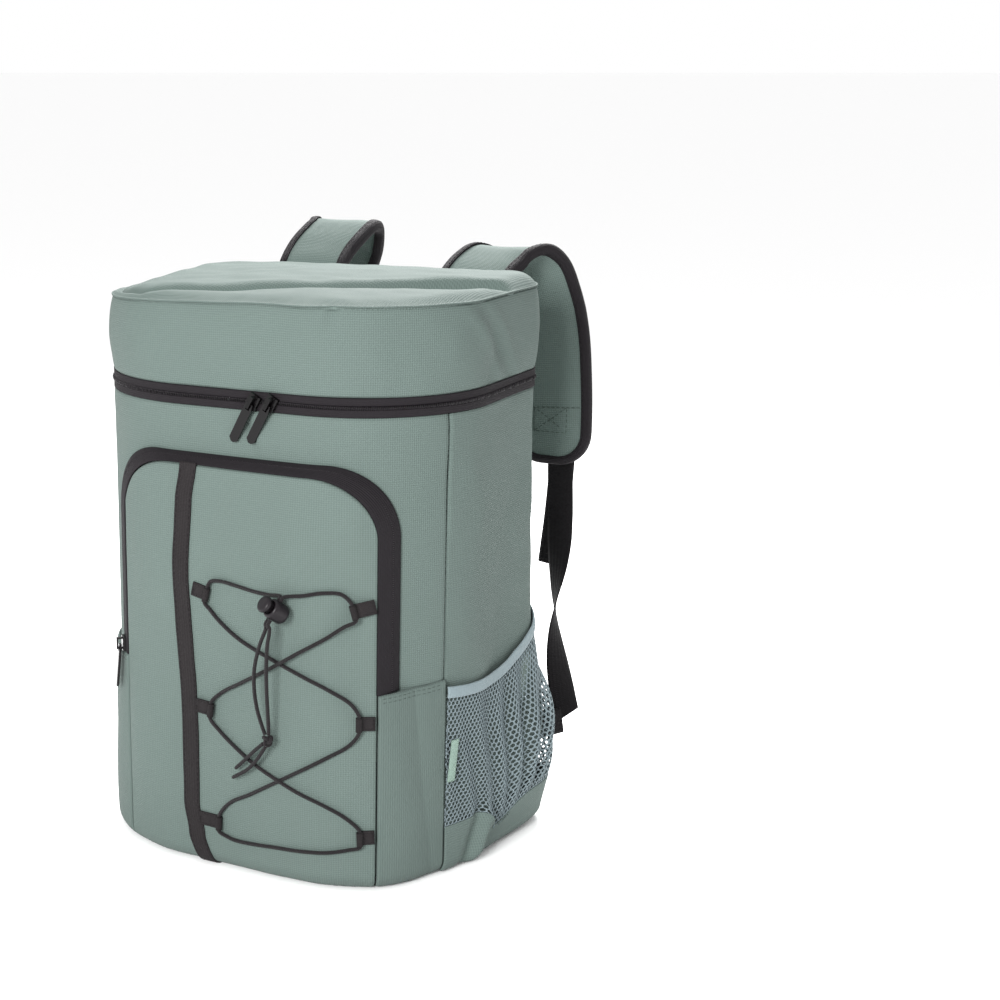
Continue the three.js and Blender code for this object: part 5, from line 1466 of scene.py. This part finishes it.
def webbing_point(row, side, behind_lock):
    across, behind, height, off, _ = row
    seat = WEBBING_THICKNESS / 2 + GAP + off * (STRAP_THICKNESS / 2 + 0.7) + behind_lock
    return Vector((side * mix(STRAP_END_CENTRE, WIDTH / 2, across), DEPTH / 2 + seat + STRAP_REACH * behind,
                   STRAP_END_HEIGHT * height))


def ribbon(name, rows, side, upright=False, behind_lock=0.0, curl=0.0, slant=0.0):
    """Flat webbing along rows; curl bows its edges, slant cuts its lower end askew."""
    steps = 16
    centre = smooth_route([webbing_point(row, side, behind_lock) for row in rows], steps)
    directions = tangents(centre)
    half = WEBBING / 2
    columns = 10
    sections = []
    for i, (point, direction) in enumerate(zip(centre, directions)):
        row = min(i // steps, len(rows) - 2)
        turn = mix(rows[row][4], rows[row + 1][4], i / steps - row)
        wish = Vector((0, 0, 1)) if upright else Vector((side * math.cos(turn), math.sin(turn), 0))
        wide = (wish - wish.dot(direction) * direction).normalized()
        normal = direction.cross(wide)
        share = i / (len(centre) - 1)
        tilt = slant * clamp((share - 0.8) / 0.2, 0, 1)
        bow = curl * math.sin(3.3 * math.pi * share + 0.4)
        section = []
        for face in (1, -1):
            for k in range(columns + 1):
                across = half * (2 * k / columns - 1) * face
                edge = (across / half) ** 2
                depth = face * WEBBING_THICKNESS / 2 * (1 - 0.6 * edge ** 6) + bow * edge
                section.append(point + wide * across + normal * depth + direction * tilt * across)
        sections.append(section)
    around = [WEBBING * k / columns for k in range(columns + 1)]
    around += around[::-1]
    return sweep(name, sections, webbing_black, around)


def make_webbing(name, side):
    behind_lock = WEBBING_THICKNESS + 2 * GAP + LADDER_LOCK
    ribbon("strap_webbing_%s_weave" % name, WEBBING_ROWS, side, curl=1.0, slant=side * 0.45)
    ribbon("webbing_tail_%s_weave" % name, TAIL_ROWS, side, behind_lock=behind_lock)
    ribbon("webbing_anchor_%s_weave" % name, ANCHOR_ROWS, side, upright=True)
    foot = webbing_point(TAIL_ROWS[-1], side, behind_lock)
    lines = []
    for rise in (4, 9):
        line = []
        for k in range(9):
            across = mix(-9.5, 9.5, k / 8)
            place = foot + Vector((across, -WEBBING_THICKNESS / 2 - 0.1, rise))
            line.append((place, Vector((0, -1, 0))))
        lines.append(line)
    stitches("webbing_hem_%s_stitches" % name, lines, thread_dark, slot="webbing")


def make_floor():
    size = 60.0
    mesh = bpy.data.meshes.new("floor")
    corners = [(-size, -size, 0), (size, -size, 0), (size, size, 0), (-size, size, 0)]
    mesh.from_pydata(corners, [], [(0, 1, 2, 3)])
    floor = bpy.data.objects.new("floor", mesh)
    bpy.context.scene.collection.objects.link(floor)
    paper = Shader("floor_paper", 0.9)
    grain = paper.noise(300.0, 2.0)
    paper.colour(paper.blend(grain, (0.95, 0.95, 0.95, 1.0), (0.98, 0.98, 0.98, 1.0)))
    mesh.materials.append(paper.material)


def make_studio():
    scene = bpy.context.scene
    world = bpy.data.worlds.new("studio")
    world.use_nodes = True
    world.node_tree.nodes["Background"].inputs["Color"].default_value = (1.0, 1.0, 1.0, 1.0)
    world.node_tree.nodes["Background"].inputs["Strength"].default_value = 1.0
    scene.world = world
    scene.view_settings.view_transform = "Standard"
    middle = (0.0, 0.0, 0.2)
    make_light("key", (0.25, -2.4, 1.1), middle, 0.8, 88)
    make_light("top", (-0.25, 1.1, 1.35), (0.0, 0.0, 0.43), 0.7, 62)


make_camera()
make_cords()
make_tabs()
make_body()
make_main_zip()
make_lid()
make_pocket()
make_lock()
make_hardware()
for pocket_name, pocket_side in (("left", -1), ("right", 1)):
    make_net(pocket_name, pocket_side)
make_label()
for strap_name in ("right", "left"):
    make_strap(strap_name)
    make_webbing(strap_name, 1 if strap_name == "right" else -1)
make_floor()
make_studio()
